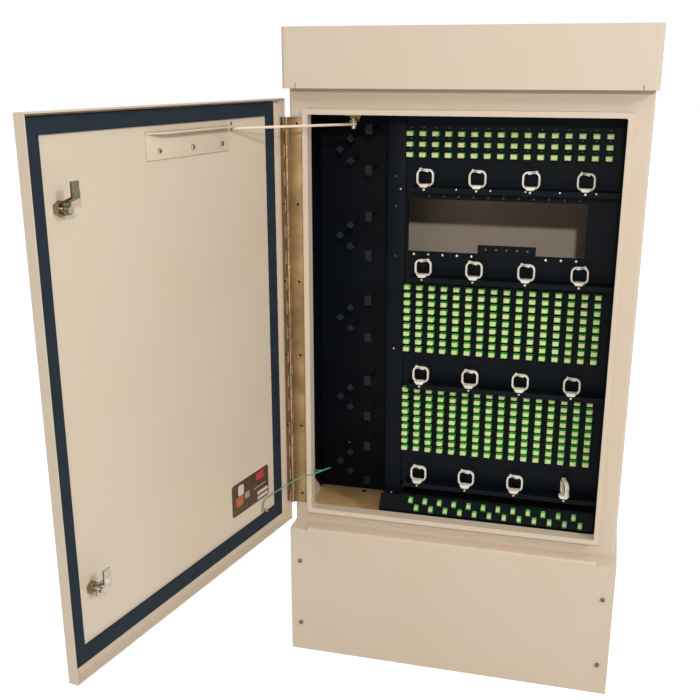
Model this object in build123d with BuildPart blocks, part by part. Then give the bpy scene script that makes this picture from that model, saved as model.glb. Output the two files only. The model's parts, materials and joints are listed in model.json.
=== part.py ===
from build123d import *

import math
import os

# Roadside cabinet for fibre connections: a sheet aluminium housing on a plinth, its front door open,
# with a panel of connectors, cable rings and slack storage inside. Millimetres, +Z up, front towards -Y.
# The origin is the middle of the plinth's foot, on the ground.

# Housing
body_width = 660.0
body_depth = 380.0
body_height = 994.0
body_wall = 3.0
body_bend = 5.0

# Rain rim round the door opening
rim_side_margin = 30.6
rim_free_side_margin = 32.2
rim_sill_margin = 31.0
rim_top_margin = 141.5
rim_face = 10.2
rim_projection = 20.0
rim_return = 6.0
rim_sheet = 2.0
rim_corner = 6.0

# Roof cap
cap_height = 108.0
cap_wall = 3.0
cap_side_overhang = 5.0
cap_front_overhang = 30.0
cap_back_overhang = 12.0
cap_bend = 8.0
cap_hem = 9.0
cap_hem_sheet = 2.0
cap_slit_inset = 26.5
cap_slit = 1.6
cap_slit_height = 9.0

# Plinth
plinth_height = 297.0
plinth_wall = 3.0
plinth_side_overhang = 5.0
plinth_front_overhang = 24.0
plinth_top_step = 6.0
plinth_bend = 5.0
cable_hole_margin = 60.0
foot_flange = 45.0
anchor_hole_radius = 9.0
anchor_side_inset = 35.0
anchor_end_inset = 30.0
jamb_width = 40.0

# Plinth cover
cover_sheet = 3.0
cover_ledge_drop = 3.0
cover_ear = 36.0
cover_slit = 1.6
cover_slit_depth = 10.0
cover_screw_inset = 21.0
cover_screw_top = 76.0
cover_screw_pitch = 149.0
cover_screw_head = 12.0
cover_screw_head_height = 5.0

# Door
door_left_overlap = 8.0
door_right_overlap = 1.5
door_bottom_overlap = 28.0
door_top_overlap = 18.3
door_sheet = 2.0
door_wall_tip = 8.0
door_skin_offset = 27.2
door_bend = 3.0
door_open_angle = 101.98

# Continuous hinge
hinge_axis_x = 5.5
hinge_axis_y = 4.0
hinge_bottom_inset = 40.0
hinge_top_inset = 34.2
hinge_sheet = 1.5
hinge_knuckle_radius = 3.8
hinge_pin_radius = 1.6
hinge_knuckle_count = 15
hinge_knuckle_sides = 12
hinge_bore_sides = 8
hinge_pin_clearance = 0.2
hinge_knuckle_gap = 0.4
hinge_frame_leaf_reach = 23.2
hinge_door_leaf_width = 13.0
hinge_screw_inset = 15.0
hinge_screw_bottom_inset = 21.6
hinge_screw_top_inset = 12.0
hinge_screw_count = 6
hinge_screw_head = 7.0
hinge_screw_head_height = 1.8

# Door gasket
gasket_left_lap = 14.6
gasket_right_lap = 18.2
gasket_bottom_lap = 13.0
gasket_top_lap = 13.5
gasket_width = 31.0
gasket_clearance = 0.3

# Stay rail on the door, rod and bracket
rail_start = 164.0
rail_length = 229.0
rail_height = 34.0
rail_clearance = 0.8
rail_leg = 11.0
rail_sheet = 3.0
rail_screw_rise = 14.0
rail_screw_insets = (22.3, 108.3, 198.7)
rail_screw_head = 9.0
rail_screw_head_height = 3.0
stay_pivot_x = 121.0
stay_pivot_y = 18.0
stay_rod_radius = 3.0
stay_rod_drop = 28.5
stay_slide_lead = 11.0
stay_slide_y = 17.0
stay_eye_radius = 7.0
stay_eye_wall = 4.0
stay_eye_clearance = 0.3
stay_pin_radius = 2.5
stay_pin_rise = 9.0
stay_eye_drop = 3.2
stay_bracket_top_width = 23.0
stay_bracket_bottom_width = 14.0
stay_bracket_sheet = 2.0
stay_bracket_reach = 12.0
stay_bolt_radius = 2.5
stay_washer_radius = 6.0
stay_washer = 1.5
stay_bolt_head = 9.0
stay_bolt_head_height = 3.5

# Cam latches
latch_inset = 66.0
upper_latch_height = 737.5
lower_latch_height = 139.5
latch_collar_radius = 16.0
latch_collar = 3.0
latch_barrel_radius = 9.0
latch_nut_width = 23.0
latch_nut = 10.0
latch_spindle_radius = 5.0
latch_spindle_clearance = 0.3
latch_spindle_tip = 5.0
latch_key_size = 9.0
latch_key = 5.0
cam_sheet = 3.0
cam_hub_radius = 8.0
cam_width = 15.0
cam_reach = 40.0
cam_joggle_start = 12.0
cam_plate_length = 24.0
cam_rim_gap = 1.4

# Ground stud, lug and wire
stud_x = 85.0
stud_height = 58.0
stud_radius = 3.0
stud_length = 13.0
stud_nut_width = 10.0
stud_nut = 5.0
lug_depth = 1.0
lug_height = 118.0
lug_nut = 4.0
wire_radius = 2.0

# Divider channel
divider_left = 179.0
divider_width = 35.0
divider_front = 60.0
divider_depth = 120.0
divider_sheet = 2.0
interior_top_gap = 30.0

# Connector panel
panel_front = 64.0
panel_sheet = 2.0
panel_bottom = 88.0
panel_top = 842.0
panel_flange = 25.0
window_left_margin = 3.0
window_right_margin = 98.0
window_bottom = 581.0
window_top = 683.0
window_tab_left = 140.0
window_tab_width = 111.0
window_tab_height = 17.0
window_tab_holes = 5
window_tab_hole_pitch = 20.0
window_tab_hole_radius = 2.0

# Connectors and their dust caps
adapter_width = 12.7
adapter_height = 9.3
adapter_body = 14.0
adapter_left_margin = 8.3
adapter_right_margin = 66.5
adapter_columns = 16
dust_cap_width = 10.0
dust_cap_height = 8.0
dust_cap = 4.6
top_block_height = 767.5
top_block_pitch = 19.7
top_block_rows = 3
middle_block_height = 383.1
middle_block_pitch = 15.9
middle_block_rows = 9
lower_block_height = 169.5
lower_block_pitch = 15.98
lower_block_rows = 9

# Cable rings and their ledges
ring_left_margin = 40.6
ring_right_margin = 103.6
ring_count = 4
ring_outer = 33.5
ring_stroke = 4.6
ring_thickness = 8.0
ring_corner = 6.5
ring_front = 41.0
ring_heights = (725.6, 552.0, 333.2, 117.0)
ring_turn = 70.0
ring_foot_width = 19.0
ring_foot_sheet = 2.4
ring_foot_drop = 8.0
ledge_left_margin = 15.0
ledge_right_margin = 8.0
ledge_sheet = 1.5
ledge_depth = 34.0
ledge_flange = 12.0
ledge_lip = 10.0
ring_names = ("top", "upper", "middle", "lower")

# Parking strip at the floor
strip_left_lap = 7.0
strip_right_margin = 17.0
strip_fold_front = 62.0
strip_fold_height = 61.0
strip_length = 38.0
strip_tilt = 35.0
strip_sheet = 2.0
strip_gap = 0.3
strip_shelf_back = 110.0
strip_shelf_rise = 5.0
parking_columns = 12
parking_left_margin = 24.7
parking_right_margin = 81.7
parking_stagger = 13.8
parking_upper_drop = 14.9
parking_lower_drop = 30.4
parking_adapter_width = 9.3
parking_adapter_height = 12.7
parking_adapter = 9.0
parking_cap_width = 8.0
parking_cap_height = 10.0
parking_cap = 4.6

# Slack storage plate and spool fingers
storage_front = 188.0
storage_sheet = 2.0
storage_wall_gap = 1.0
spool_heights = (769.0, 596.0, 422.0, 246.0, 96.0)
spool_centre_x = 88.0
spool_finger = 70.0
spool_post_radius = 6.0
spool_pad = 17.0
spool_pad_sheet = 3.0
spool_pad_rise = 22.0
spool_pad_side = 22.0
spool_hub_x = 126.0
spool_hub_rise = 40.0
spool_hub_width = 14.0
spool_hub_height = 20.0

# Datums of the housing
left_x = -body_width / 2
right_x = body_width / 2
front_y = -body_depth / 2
back_y = body_depth / 2
sill_z = plinth_height
roof_z = sill_z + body_height


def across(distance):
    """X at a distance from the housing's left side."""
    return left_x + distance


def inward(distance):
    """Y at a distance behind the housing's front face."""
    return front_y + distance


def above_sill(distance):
    """Z at a height above the housing's bottom edge."""
    return sill_z + distance


def block(x0, x1, y0, y1, z0, z1, mode=Mode.ADD, corner=0.0):
    """A rectangular prism between two opposite corners, its upright edges rounded by corner."""
    with BuildSketch(Plane.XY.offset(z0)) as outline:
        with Locations(((x0 + x1) / 2, (y0 + y1) / 2)):
            if corner:
                RectangleRounded(x1 - x0, y1 - y0, corner)
            else:
                Rectangle(x1 - x0, y1 - y0)
    extrude(outline.sketch, amount=z1 - z0, mode=mode)


def front_frame(x0, x1, z0, z1, y0, y1, mode=Mode.ADD, corner=0.0):
    """A prism that runs from y0 back to y1, with the corners of its upright outline rounded."""
    facing = Plane(origin=((x0 + x1) / 2, y0, (z0 + z1) / 2), x_dir=(-1, 0, 0), z_dir=(0, 1, 0))
    with BuildSketch(facing) as outline:
        if corner:
            RectangleRounded(x1 - x0, z1 - z0, corner)
        else:
            Rectangle(x1 - x0, z1 - z0)
    extrude(outline.sketch, amount=y1 - y0, mode=mode)


def round_bar(plane, radius, length, mode=Mode.ADD):
    """A round bar that starts on a plane and runs along its normal."""
    with BuildSketch(plane) as outline:
        Circle(radius)
    extrude(outline.sketch, amount=length, mode=mode)


def polygon_bar(plane, width, length, sides=6, mode=Mode.ADD):
    """A bar with a regular polygon section of a given width across its corners."""
    with BuildSketch(plane) as outline:
        RegularPolygon(width / 2, sides)
    extrude(outline.sketch, amount=length, mode=mode)


def save(piece, label):
    """Names a finished piece and writes it to its file."""
    piece.label = label
    export_step(piece, f"parts/{label}.step")


os.makedirs("parts", exist_ok=True)

# Plinth: a folded box open at the front, with a raised frame that the housing stands on,
# and an inward foot flange with four anchor holes.
plinth_left = left_x - plinth_side_overhang
plinth_right = right_x + plinth_side_overhang
plinth_front = front_y - plinth_front_overhang
plinth_back = back_y + plinth_side_overhang
plinth_deck = plinth_height - plinth_top_step
foot_inner_left = plinth_left + foot_flange
foot_inner_right = plinth_right - foot_flange
foot_inner_front = plinth_front + foot_flange
foot_inner_back = plinth_back - foot_flange
hole_left = left_x + cable_hole_margin
hole_right = right_x - cable_hole_margin
hole_front = front_y + cable_hole_margin
hole_back = back_y - cable_hole_margin
anchor_x = plinth_right - anchor_side_inset
anchor_y = back_y - anchor_end_inset
cover_front = plinth_front - cover_sheet
screw_xs = (plinth_left + cover_screw_inset, plinth_right - cover_screw_inset)
screw_zs = (
    plinth_height - plinth_top_step - cover_screw_top,
    plinth_height - plinth_top_step - cover_screw_top - cover_screw_pitch,
)

with BuildPart() as plinth:
    block(plinth_left, plinth_right, plinth_front, plinth_back, 0, plinth_deck)
    block(
        plinth_left + plinth_wall,
        plinth_right - plinth_wall,
        plinth_front + plinth_wall,
        plinth_back - plinth_wall,
        plinth_wall,
        plinth_deck - plinth_wall,
        mode=Mode.SUBTRACT,
    )
    block(left_x, right_x, front_y, back_y, plinth_deck, plinth_height)
    block(
        hole_left,
        hole_right,
        hole_front,
        hole_back,
        plinth_deck - plinth_wall,
        plinth_height,
        mode=Mode.SUBTRACT,
    )
    block(
        foot_inner_left,
        foot_inner_right,
        foot_inner_front,
        foot_inner_back,
        0,
        plinth_wall,
        mode=Mode.SUBTRACT,
    )
    block(
        plinth_left + jamb_width,
        plinth_right - jamb_width,
        plinth_front,
        plinth_front + plinth_wall,
        plinth_wall,
        plinth_deck - plinth_wall,
        mode=Mode.SUBTRACT,
    )
    with BuildSketch(Plane.XY):
        with GridLocations(2 * anchor_x, 2 * anchor_y, 2, 2):
            Circle(anchor_hole_radius)
    extrude(amount=plinth_wall, mode=Mode.SUBTRACT)
save(plinth.part, "plinth")

# Plinth cover: a flat sheet with an ear at each end and a ledge that hooks over the plinth's deck.
cover_top = plinth_deck + cover_ledge_drop
with BuildPart() as plinth_cover:
    block(plinth_left, plinth_right, cover_front, plinth_front, 0, plinth_deck)
    block(
        plinth_left + cover_ear,
        plinth_right - cover_ear,
        cover_front,
        front_y,
        plinth_deck,
        cover_top,
    )
    for side in (-1, 1):
        slit_x = side * (plinth_right - cover_ear)
        block(
            slit_x - cover_slit / 2,
            slit_x + cover_slit / 2,
            cover_front,
            plinth_front,
            plinth_deck - cover_slit_depth,
            cover_top,
            mode=Mode.SUBTRACT,
        )
save(plinth_cover.part, "plinth_cover")

with BuildPart() as plinth_cover_screws:
    for x in screw_xs:
        for z in screw_zs:
            seat = Plane(origin=(x, cover_front, z), z_dir=(0, -1, 0))
            polygon_bar(seat, cover_screw_head, cover_screw_head_height)
save(plinth_cover_screws.part, "plinth_cover_screws")

# Housing: one welded shell with a rain rim folded out round the door opening.
rim_left = across(rim_side_margin)
rim_right = right_x - rim_free_side_margin
rim_bottom = above_sill(rim_sill_margin)
rim_top = roof_z - rim_top_margin
rim_front = front_y - rim_projection
opening_left = rim_left + rim_face
opening_right = rim_right - rim_face
opening_bottom = rim_bottom + rim_face
opening_top = rim_top - rim_face
rim_back = inward(rim_return)

with BuildPart() as cabinet_body:
    block(left_x, right_x, front_y, back_y, sill_z, roof_z, corner=body_bend)
    block(
        left_x + body_wall,
        right_x - body_wall,
        front_y + body_wall,
        back_y - body_wall,
        sill_z + body_wall,
        roof_z - body_wall,
        mode=Mode.SUBTRACT,
    )
    front_frame(rim_left, rim_right, rim_bottom, rim_top, rim_front, rim_back, corner=rim_corner)
    front_frame(
        rim_left + rim_sheet,
        rim_right - rim_sheet,
        rim_bottom + rim_sheet,
        rim_top - rim_sheet,
        rim_front + rim_sheet,
        rim_back,
        mode=Mode.SUBTRACT,
        corner=rim_corner - rim_sheet,
    )
    front_frame(
        opening_left - rim_sheet,
        opening_right + rim_sheet,
        opening_bottom - rim_sheet,
        opening_top + rim_sheet,
        rim_front + rim_sheet,
        rim_back,
        corner=rim_corner,
    )
    front_frame(
        opening_left,
        opening_right,
        opening_bottom,
        opening_top,
        rim_front,
        rim_back,
        mode=Mode.SUBTRACT,
        corner=rim_corner - rim_sheet,
    )
save(cabinet_body.part, "cabinet_body")

# Roof cap: a folded hood with a hem along its lower edge, slit beside the corners to let it fold.
cap_left = left_x - cap_side_overhang
cap_right = right_x + cap_side_overhang
cap_front = front_y - cap_front_overhang
cap_back = back_y + cap_back_overhang
cap_top = roof_z + cap_wall
cap_bottom = cap_top - cap_height
with BuildPart() as roof_cap:
    block(cap_left, cap_right, cap_front, cap_back, cap_bottom, cap_top, corner=cap_bend)
    cap_edges = roof_cap.edges().group_by(Axis.Z)[-1]
    chamfer(cap_edges, cap_wall / 2)
    block(
        cap_left + cap_wall,
        cap_right - cap_wall,
        cap_front + cap_wall,
        cap_back - cap_wall,
        cap_bottom,
        roof_z,
        mode=Mode.SUBTRACT,
    )
    block(
        cap_left + cap_slit_inset,
        cap_right - cap_slit_inset,
        cap_front + cap_wall,
        cap_front + cap_wall + cap_hem,
        cap_bottom,
        cap_bottom + cap_hem_sheet,
    )
    for side in (-1, 1):
        slit_x = side * (cap_right - cap_slit_inset)
        block(
            slit_x - cap_slit / 2,
            slit_x + cap_slit / 2,
            cap_front,
            cap_front + cap_wall,
            cap_bottom,
            cap_bottom + cap_slit_height,
            mode=Mode.SUBTRACT,
        )
save(roof_cap.part, "roof_cap")

# Door, modelled closed in its own frame and then swung open about the hinge.
axis_x = left_x - hinge_axis_x
axis_y = front_y - hinge_axis_y
door_pivot = Axis((axis_x, axis_y, 0), (0, 0, 1))
door_left = left_x - door_left_overlap
door_right = right_x + door_right_overlap
door_skin = front_y - door_skin_offset
door_floor = door_skin + door_sheet
door_tip = front_y - door_wall_tip
door_low = rim_bottom - door_bottom_overlap
door_high = rim_top + door_top_overlap


def swing(piece):
    """Turns a piece of the closed door to the open position that it rests in."""
    return piece.rotate(door_pivot, -door_open_angle)


def swung_point(x, y):
    """Where a point of the closed door lies once the door is open."""
    turn = math.radians(-door_open_angle)
    dx = x - axis_x
    dy = y - axis_y
    return (
        axis_x + dx * math.cos(turn) - dy * math.sin(turn),
        axis_y + dx * math.sin(turn) + dy * math.cos(turn),
    )


latch_x = door_right - latch_inset
latch_zs = {"upper": above_sill(upper_latch_height), "lower": above_sill(lower_latch_height)}

with BuildPart() as door_pan:
    block(door_left, door_right, door_skin, door_tip, door_low, door_high)
    chamfer(door_pan.edges().filter_by(Axis.Z).group_by(Axis.Y)[0], door_sheet / 2)
    block(
        door_left + door_sheet,
        door_right - door_sheet,
        door_floor,
        door_tip,
        door_low + door_sheet,
        door_high - door_sheet,
        mode=Mode.SUBTRACT,
    )
    for z in latch_zs.values():
        hole = Plane(origin=(latch_x, door_skin, z), z_dir=(0, 1, 0))
        round_bar(hole, latch_barrel_radius, door_sheet, mode=Mode.SUBTRACT)
save(swing(door_pan.part), "door_pan")

gasket_face = rim_front - gasket_clearance
gasket_left = rim_left - gasket_left_lap
gasket_right = rim_right + gasket_right_lap
gasket_bottom = rim_bottom - gasket_bottom_lap
gasket_top = rim_top + gasket_top_lap
with BuildPart() as door_gasket:
    front_frame(gasket_left, gasket_right, gasket_bottom, gasket_top, door_floor, gasket_face)
    front_frame(
        gasket_left + gasket_width,
        gasket_right - gasket_width,
        gasket_bottom + gasket_width,
        gasket_top - gasket_width,
        door_floor,
        gasket_face,
        mode=Mode.SUBTRACT,
    )
save(swing(door_gasket.part), "door_gasket")

# Continuous hinge: the two leaves share a row of knuckles, taken in turn, on one long pin.
hinge_low = door_low + hinge_bottom_inset
hinge_high = door_high - hinge_top_inset
knuckle_pitch = (hinge_high - hinge_low) / hinge_knuckle_count


def knuckles(first, leaf_x0, leaf_x1, leaf_y0, leaf_y1):
    """One leaf and its knuckles, every second one from first, with room for those of the other leaf."""
    block(leaf_x0, leaf_x1, leaf_y0, leaf_y1, hinge_low, hinge_high)
    for turn in range(hinge_knuckle_count):
        low = hinge_low + turn * knuckle_pitch
        seat = Plane(origin=(axis_x, axis_y, low + hinge_knuckle_gap / 2), z_dir=(0, 0, 1))
        length = knuckle_pitch - hinge_knuckle_gap
        if turn % 2 == first:
            polygon_bar(seat, 2 * hinge_knuckle_radius, length, sides=hinge_knuckle_sides)
        else:
            clear = Plane(origin=(axis_x, axis_y, low), z_dir=(0, 0, 1))
            clear_width = 2 * (hinge_knuckle_radius + hinge_knuckle_gap)
            polygon_bar(clear, clear_width, knuckle_pitch, sides=hinge_knuckle_sides, mode=Mode.SUBTRACT)
    bore = Plane(origin=(axis_x, axis_y, hinge_low), z_dir=(0, 0, 1))
    bore_width = 2 * (hinge_pin_radius + hinge_pin_clearance)
    polygon_bar(bore, bore_width, hinge_high - hinge_low, sides=hinge_bore_sides, mode=Mode.SUBTRACT)


with BuildPart() as hinge_frame_leaf:
    knuckles(0, axis_x, across(hinge_frame_leaf_reach), front_y - hinge_sheet, front_y)
save(hinge_frame_leaf.part, "hinge_frame_leaf")

door_leaf_x = door_left + door_sheet
with BuildPart() as hinge_door_leaf:
    knuckles(1, door_leaf_x, door_leaf_x + hinge_sheet, axis_y - hinge_door_leaf_width, axis_y)
save(swing(hinge_door_leaf.part), "hinge_door_leaf")

with BuildPart() as hinge_pin:
    pin_seat = Plane(origin=(axis_x, axis_y, hinge_low), z_dir=(0, 0, 1))
    round_bar(pin_seat, hinge_pin_radius, hinge_high - hinge_low)
save(hinge_pin.part, "hinge_pin")

hinge_screw_low = hinge_low + hinge_screw_bottom_inset
hinge_screw_pitch = (hinge_high - hinge_screw_top_inset - hinge_screw_low) / (hinge_screw_count - 1)
hinge_screw_zs = [hinge_screw_low + turn * hinge_screw_pitch for turn in range(hinge_screw_count)]
with BuildPart() as hinge_frame_screws:
    for z in hinge_screw_zs:
        seat = Plane(origin=(across(hinge_screw_inset), front_y - hinge_sheet, z), z_dir=(0, -1, 0))
        polygon_bar(seat, hinge_screw_head, hinge_screw_head_height, sides=8)
save(hinge_frame_screws.part, "hinge_frame_screws")

door_leaf_face = door_leaf_x + hinge_sheet
door_leaf_middle = (axis_y - hinge_door_leaf_width + door_tip) / 2
with BuildPart() as hinge_door_screws:
    for z in hinge_screw_zs:
        seat = Plane(origin=(door_leaf_face, door_leaf_middle, z), z_dir=(1, 0, 0))
        polygon_bar(seat, hinge_screw_head, hinge_screw_head_height, sides=8)
save(swing(hinge_door_screws.part), "hinge_door_screws")

# Stay: a rod that turns on a bracket in the opening's top and slides along a rail on the door.
rod_z = rim_top - stay_rod_drop
eye_low = rod_z - stay_eye_drop
rail_x0 = across(rail_start)
rail_x1 = rail_x0 + rail_length
rail_face = door_floor + rail_sheet
rail_top = eye_low - rail_clearance
rail_bottom = rail_top - rail_height
with BuildPart() as stay_rail:
    block(rail_x0, rail_x1, door_floor, rail_face, rail_bottom, rail_top)
    block(rail_x0, rail_x1, door_floor, door_floor + rail_leg, rail_top - rail_sheet, rail_top)
save(swing(stay_rail.part), "stay_rail")

with BuildPart() as stay_rail_screws:
    for inset in rail_screw_insets:
        spot = (rail_x0 + inset, rail_face, rail_bottom + rail_screw_rise)
        seat = Plane(origin=spot, z_dir=(0, 1, 0))
        polygon_bar(seat, rail_screw_head, rail_screw_head_height, sides=8)
save(swing(stay_rail_screws.part), "stay_rail_screws")

pivot_x = across(stay_pivot_x)
pivot_y = inward(stay_pivot_y)
slide_x, slide_y = swung_point(rail_x0 - stay_slide_lead, front_y - stay_slide_y)
rod_run = Vector(slide_x - pivot_x, slide_y - pivot_y, 0)
rod_start = Vector(pivot_x, pivot_y, rod_z) + rod_run.normalized() * (stay_eye_radius - stay_eye_wall / 2)
rod_length = rod_run.length - stay_eye_radius + stay_eye_wall / 2
with BuildPart() as stay_rod:
    round_bar(Plane(origin=rod_start, z_dir=rod_run), stay_rod_radius, rod_length)
    eye = Plane(origin=(pivot_x, pivot_y, eye_low), z_dir=(0, 0, 1))
    round_bar(eye, stay_eye_radius, 2 * stay_eye_drop)
    round_bar(eye, stay_bolt_radius + stay_eye_clearance, 2 * stay_eye_drop, mode=Mode.SUBTRACT)
    pin = Plane(origin=(slide_x, slide_y, eye_low), z_dir=(0, 0, 1))
    round_bar(pin, stay_pin_radius, stay_eye_drop + stay_pin_rise)
save(stay_rod.part, "stay_rod")

shelf_z = rod_z + stay_eye_drop + stay_washer
web_front = pivot_y + stay_bracket_reach - stay_bracket_sheet
with BuildPart() as stay_bracket:
    with BuildSketch(Plane(origin=(pivot_x, web_front, 0), x_dir=(-1, 0, 0), z_dir=(0, 1, 0))):
        with BuildLine():
            Polyline(
                (-stay_bracket_bottom_width / 2, shelf_z),
                (-stay_bracket_top_width / 2, opening_top),
                (stay_bracket_top_width / 2, opening_top),
                (stay_bracket_bottom_width / 2, shelf_z),
                close=True,
            )
        make_face()
    extrude(amount=stay_bracket_sheet)
    block(
        pivot_x - stay_bracket_bottom_width / 2,
        pivot_x + stay_bracket_bottom_width / 2,
        pivot_y - stay_washer_radius,
        web_front,
        shelf_z,
        shelf_z + stay_bracket_sheet,
    )
    block(
        pivot_x - stay_bracket_top_width / 2,
        pivot_x + stay_bracket_top_width / 2,
        front_y - rim_return,
        web_front,
        opening_top - stay_bracket_sheet,
        opening_top,
    )
    bolt_hole = Plane(origin=(pivot_x, pivot_y, shelf_z), z_dir=(0, 0, 1))
    round_bar(bolt_hole, stay_bolt_radius, stay_bracket_sheet, mode=Mode.SUBTRACT)
save(stay_bracket.part, "stay_bracket")

with BuildPart() as stay_bolt:
    nut_low = eye_low - stay_washer - stay_bolt_head_height
    nut_seat = Plane(origin=(pivot_x, pivot_y, nut_low), z_dir=(0, 0, 1))
    polygon_bar(nut_seat, stay_bolt_head, stay_bolt_head_height)
    washer = Plane(origin=(pivot_x, pivot_y, eye_low - stay_washer), z_dir=(0, 0, 1))
    round_bar(washer, stay_washer_radius, stay_washer)
    round_bar(nut_seat, stay_bolt_radius, shelf_z + stay_bracket_sheet - nut_low)
    upper_washer = Plane(origin=(pivot_x, pivot_y, rod_z + stay_eye_drop), z_dir=(0, 0, 1))
    round_bar(upper_washer, stay_washer_radius, stay_washer)
    head = Plane(origin=(pivot_x, pivot_y, shelf_z + stay_bracket_sheet), z_dir=(0, 0, 1))
    polygon_bar(head, stay_bolt_head, stay_bolt_head_height)
save(stay_bolt.part, "stay_bolt")

# Cam latches: a collar and nut clamp each to the door, and a spindle turns its joggled cam
# from upright to behind the rim.
cam_back = rim_back + cam_rim_gap
cam_hub_back = front_y - latch_spindle_tip - cam_sheet / 2
spindle_front = door_skin - latch_collar
for name, z in latch_zs.items():
    with BuildPart() as latch_body:
        collar = Plane(origin=(latch_x, spindle_front, z), z_dir=(0, 1, 0))
        round_bar(collar, latch_collar_radius, latch_collar)
        barrel = Plane(origin=(latch_x, door_skin, z), z_dir=(0, 1, 0))
        round_bar(barrel, latch_barrel_radius, door_sheet)
        nut = Plane(origin=(latch_x, door_floor, z), z_dir=(0, 1, 0))
        polygon_bar(nut, latch_nut_width, latch_nut)
        bore = Plane(origin=(latch_x, spindle_front, z), z_dir=(0, 1, 0))
        clear_radius = latch_spindle_radius + latch_spindle_clearance
        round_bar(bore, clear_radius, door_floor + latch_nut - spindle_front, mode=Mode.SUBTRACT)
    save(swing(latch_body.part), f"{name}_latch_body")

    with BuildPart() as latch_spindle:
        key = Plane(origin=(latch_x, spindle_front - latch_key, z), z_dir=(0, 1, 0))
        polygon_bar(key, latch_key_size, latch_key)
        run = Plane(origin=(latch_x, spindle_front, z), z_dir=(0, 1, 0))
        round_bar(run, latch_spindle_radius, front_y - spindle_front)
    save(swing(latch_spindle.part), f"{name}_latch_spindle")

    hub_front = cam_hub_back - cam_sheet
    with BuildPart() as latch_cam:
        with BuildSketch(Plane.YZ.offset(latch_x - cam_width / 2)):
            with BuildLine():
                Polyline(
                    (hub_front, z - cam_hub_radius),
                    (hub_front, z + cam_joggle_start),
                    (cam_back, z + cam_reach - cam_plate_length + cam_sheet),
                    (cam_back, z + cam_reach),
                    (cam_back + cam_sheet, z + cam_reach),
                    (cam_back + cam_sheet, z + cam_reach - cam_plate_length),
                    (cam_hub_back, z + cam_joggle_start - cam_sheet),
                    (cam_hub_back, z - cam_hub_radius),
                    close=True,
                )
            make_face()
        extrude(amount=cam_width)
        hub_hole = Plane(origin=(latch_x, hub_front, z), z_dir=(0, 1, 0))
        round_bar(hub_hole, latch_spindle_radius, cam_sheet, mode=Mode.SUBTRACT)
    save(swing(latch_cam.part), f"{name}_latch_cam")

# Ground stud on the door, and the lug that the wire runs to inside the rim.
with BuildPart() as ground_stud:
    seat = Plane(origin=(across(stud_x), door_floor, above_sill(stud_height)), z_dir=(0, 1, 0))
    polygon_bar(seat, stud_nut_width, stud_nut)
    round_bar(seat, stud_radius, stud_length)
save(swing(ground_stud.part), "ground_stud")

with BuildPart() as ground_lug:
    seat = Plane(origin=(opening_left, inward(lug_depth), above_sill(lug_height)), z_dir=(1, 0, 0))
    polygon_bar(seat, stud_nut_width, lug_nut)
save(ground_lug.part, "ground_lug")

# Divider channel between the slack storage and the connector panel.
interior_floor = sill_z + body_wall
interior_top = roof_z - body_wall
divider_x0 = across(divider_left)
divider_x1 = divider_x0 + divider_width
divider_y0 = inward(divider_front)
divider_top = interior_top - interior_top_gap
with BuildPart() as divider_channel:
    block(divider_x0, divider_x1, divider_y0, divider_y0 + divider_depth, interior_floor, divider_top)
    block(
        divider_x0 + divider_sheet,
        divider_x1 - divider_sheet,
        divider_y0 + divider_sheet,
        divider_y0 + divider_depth,
        interior_floor,
        divider_top,
        mode=Mode.SUBTRACT,
    )
save(divider_channel.part, "divider_channel")

# Connector panel, screwed to the divider and to the housing's right side.
panel_y0 = inward(panel_front)
panel_y1 = panel_y0 + panel_sheet
panel_x0 = divider_x1
panel_x1 = right_x - body_wall
window_x0 = panel_x0 + window_left_margin
window_x1 = panel_x1 - window_right_margin
with BuildPart() as connector_panel:
    block(panel_x0, panel_x1, panel_y0, panel_y1, above_sill(panel_bottom), above_sill(panel_top))
    block(
        panel_x1 - panel_sheet,
        panel_x1,
        panel_y0,
        panel_y0 + panel_flange,
        above_sill(panel_bottom),
        above_sill(panel_top),
    )
    block(
        panel_x0,
        panel_x0 + panel_sheet,
        panel_y0,
        panel_y0 + panel_flange,
        above_sill(panel_bottom),
        above_sill(panel_top),
    )
    front_frame(
        window_x0,
        window_x1,
        above_sill(window_bottom),
        above_sill(window_top),
        panel_y0,
        panel_y1,
        mode=Mode.SUBTRACT,
    )
    tab_x0 = window_x0 + window_tab_left
    tab_x1 = tab_x0 + window_tab_width
    tab_z0 = above_sill(window_bottom)
    tab_z1 = tab_z0 + window_tab_height
    block(tab_x0, tab_x1, panel_y0, panel_y1, tab_z0, tab_z1)
    tab_middle = ((tab_x0 + tab_x1) / 2, panel_y0, (tab_z0 + tab_z1) / 2)
    with BuildSketch(Plane(origin=tab_middle, x_dir=(-1, 0, 0), z_dir=(0, 1, 0))):
        with GridLocations(window_tab_hole_pitch, window_tab_height, window_tab_holes, 1):
            Circle(window_tab_hole_radius)
    extrude(amount=panel_sheet, mode=Mode.SUBTRACT)
save(connector_panel.part, "connector_panel")

# Connectors in three blocks, each a grid of adapters with a dust cap on its face.
adapter_front = panel_y0 - adapter_body
adapter_first_x = panel_x0 + adapter_left_margin
adapter_last_x = panel_x1 - adapter_right_margin
adapter_pitch_x = (adapter_last_x - adapter_first_x) / (adapter_columns - 1)
grid_x = (adapter_first_x + adapter_last_x) / 2


def grid_prisms(front, length, centre_z, pitch_z, rows, width, height):
    """A grid of equal prisms facing the door, between front and front plus length."""
    facing = Plane(origin=(grid_x, front, centre_z), x_dir=(-1, 0, 0), z_dir=(0, 1, 0))
    with BuildSketch(facing) as outline:
        with GridLocations(adapter_pitch_x, pitch_z, adapter_columns, rows):
            Rectangle(width, height)
    extrude(outline.sketch, amount=length)


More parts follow.
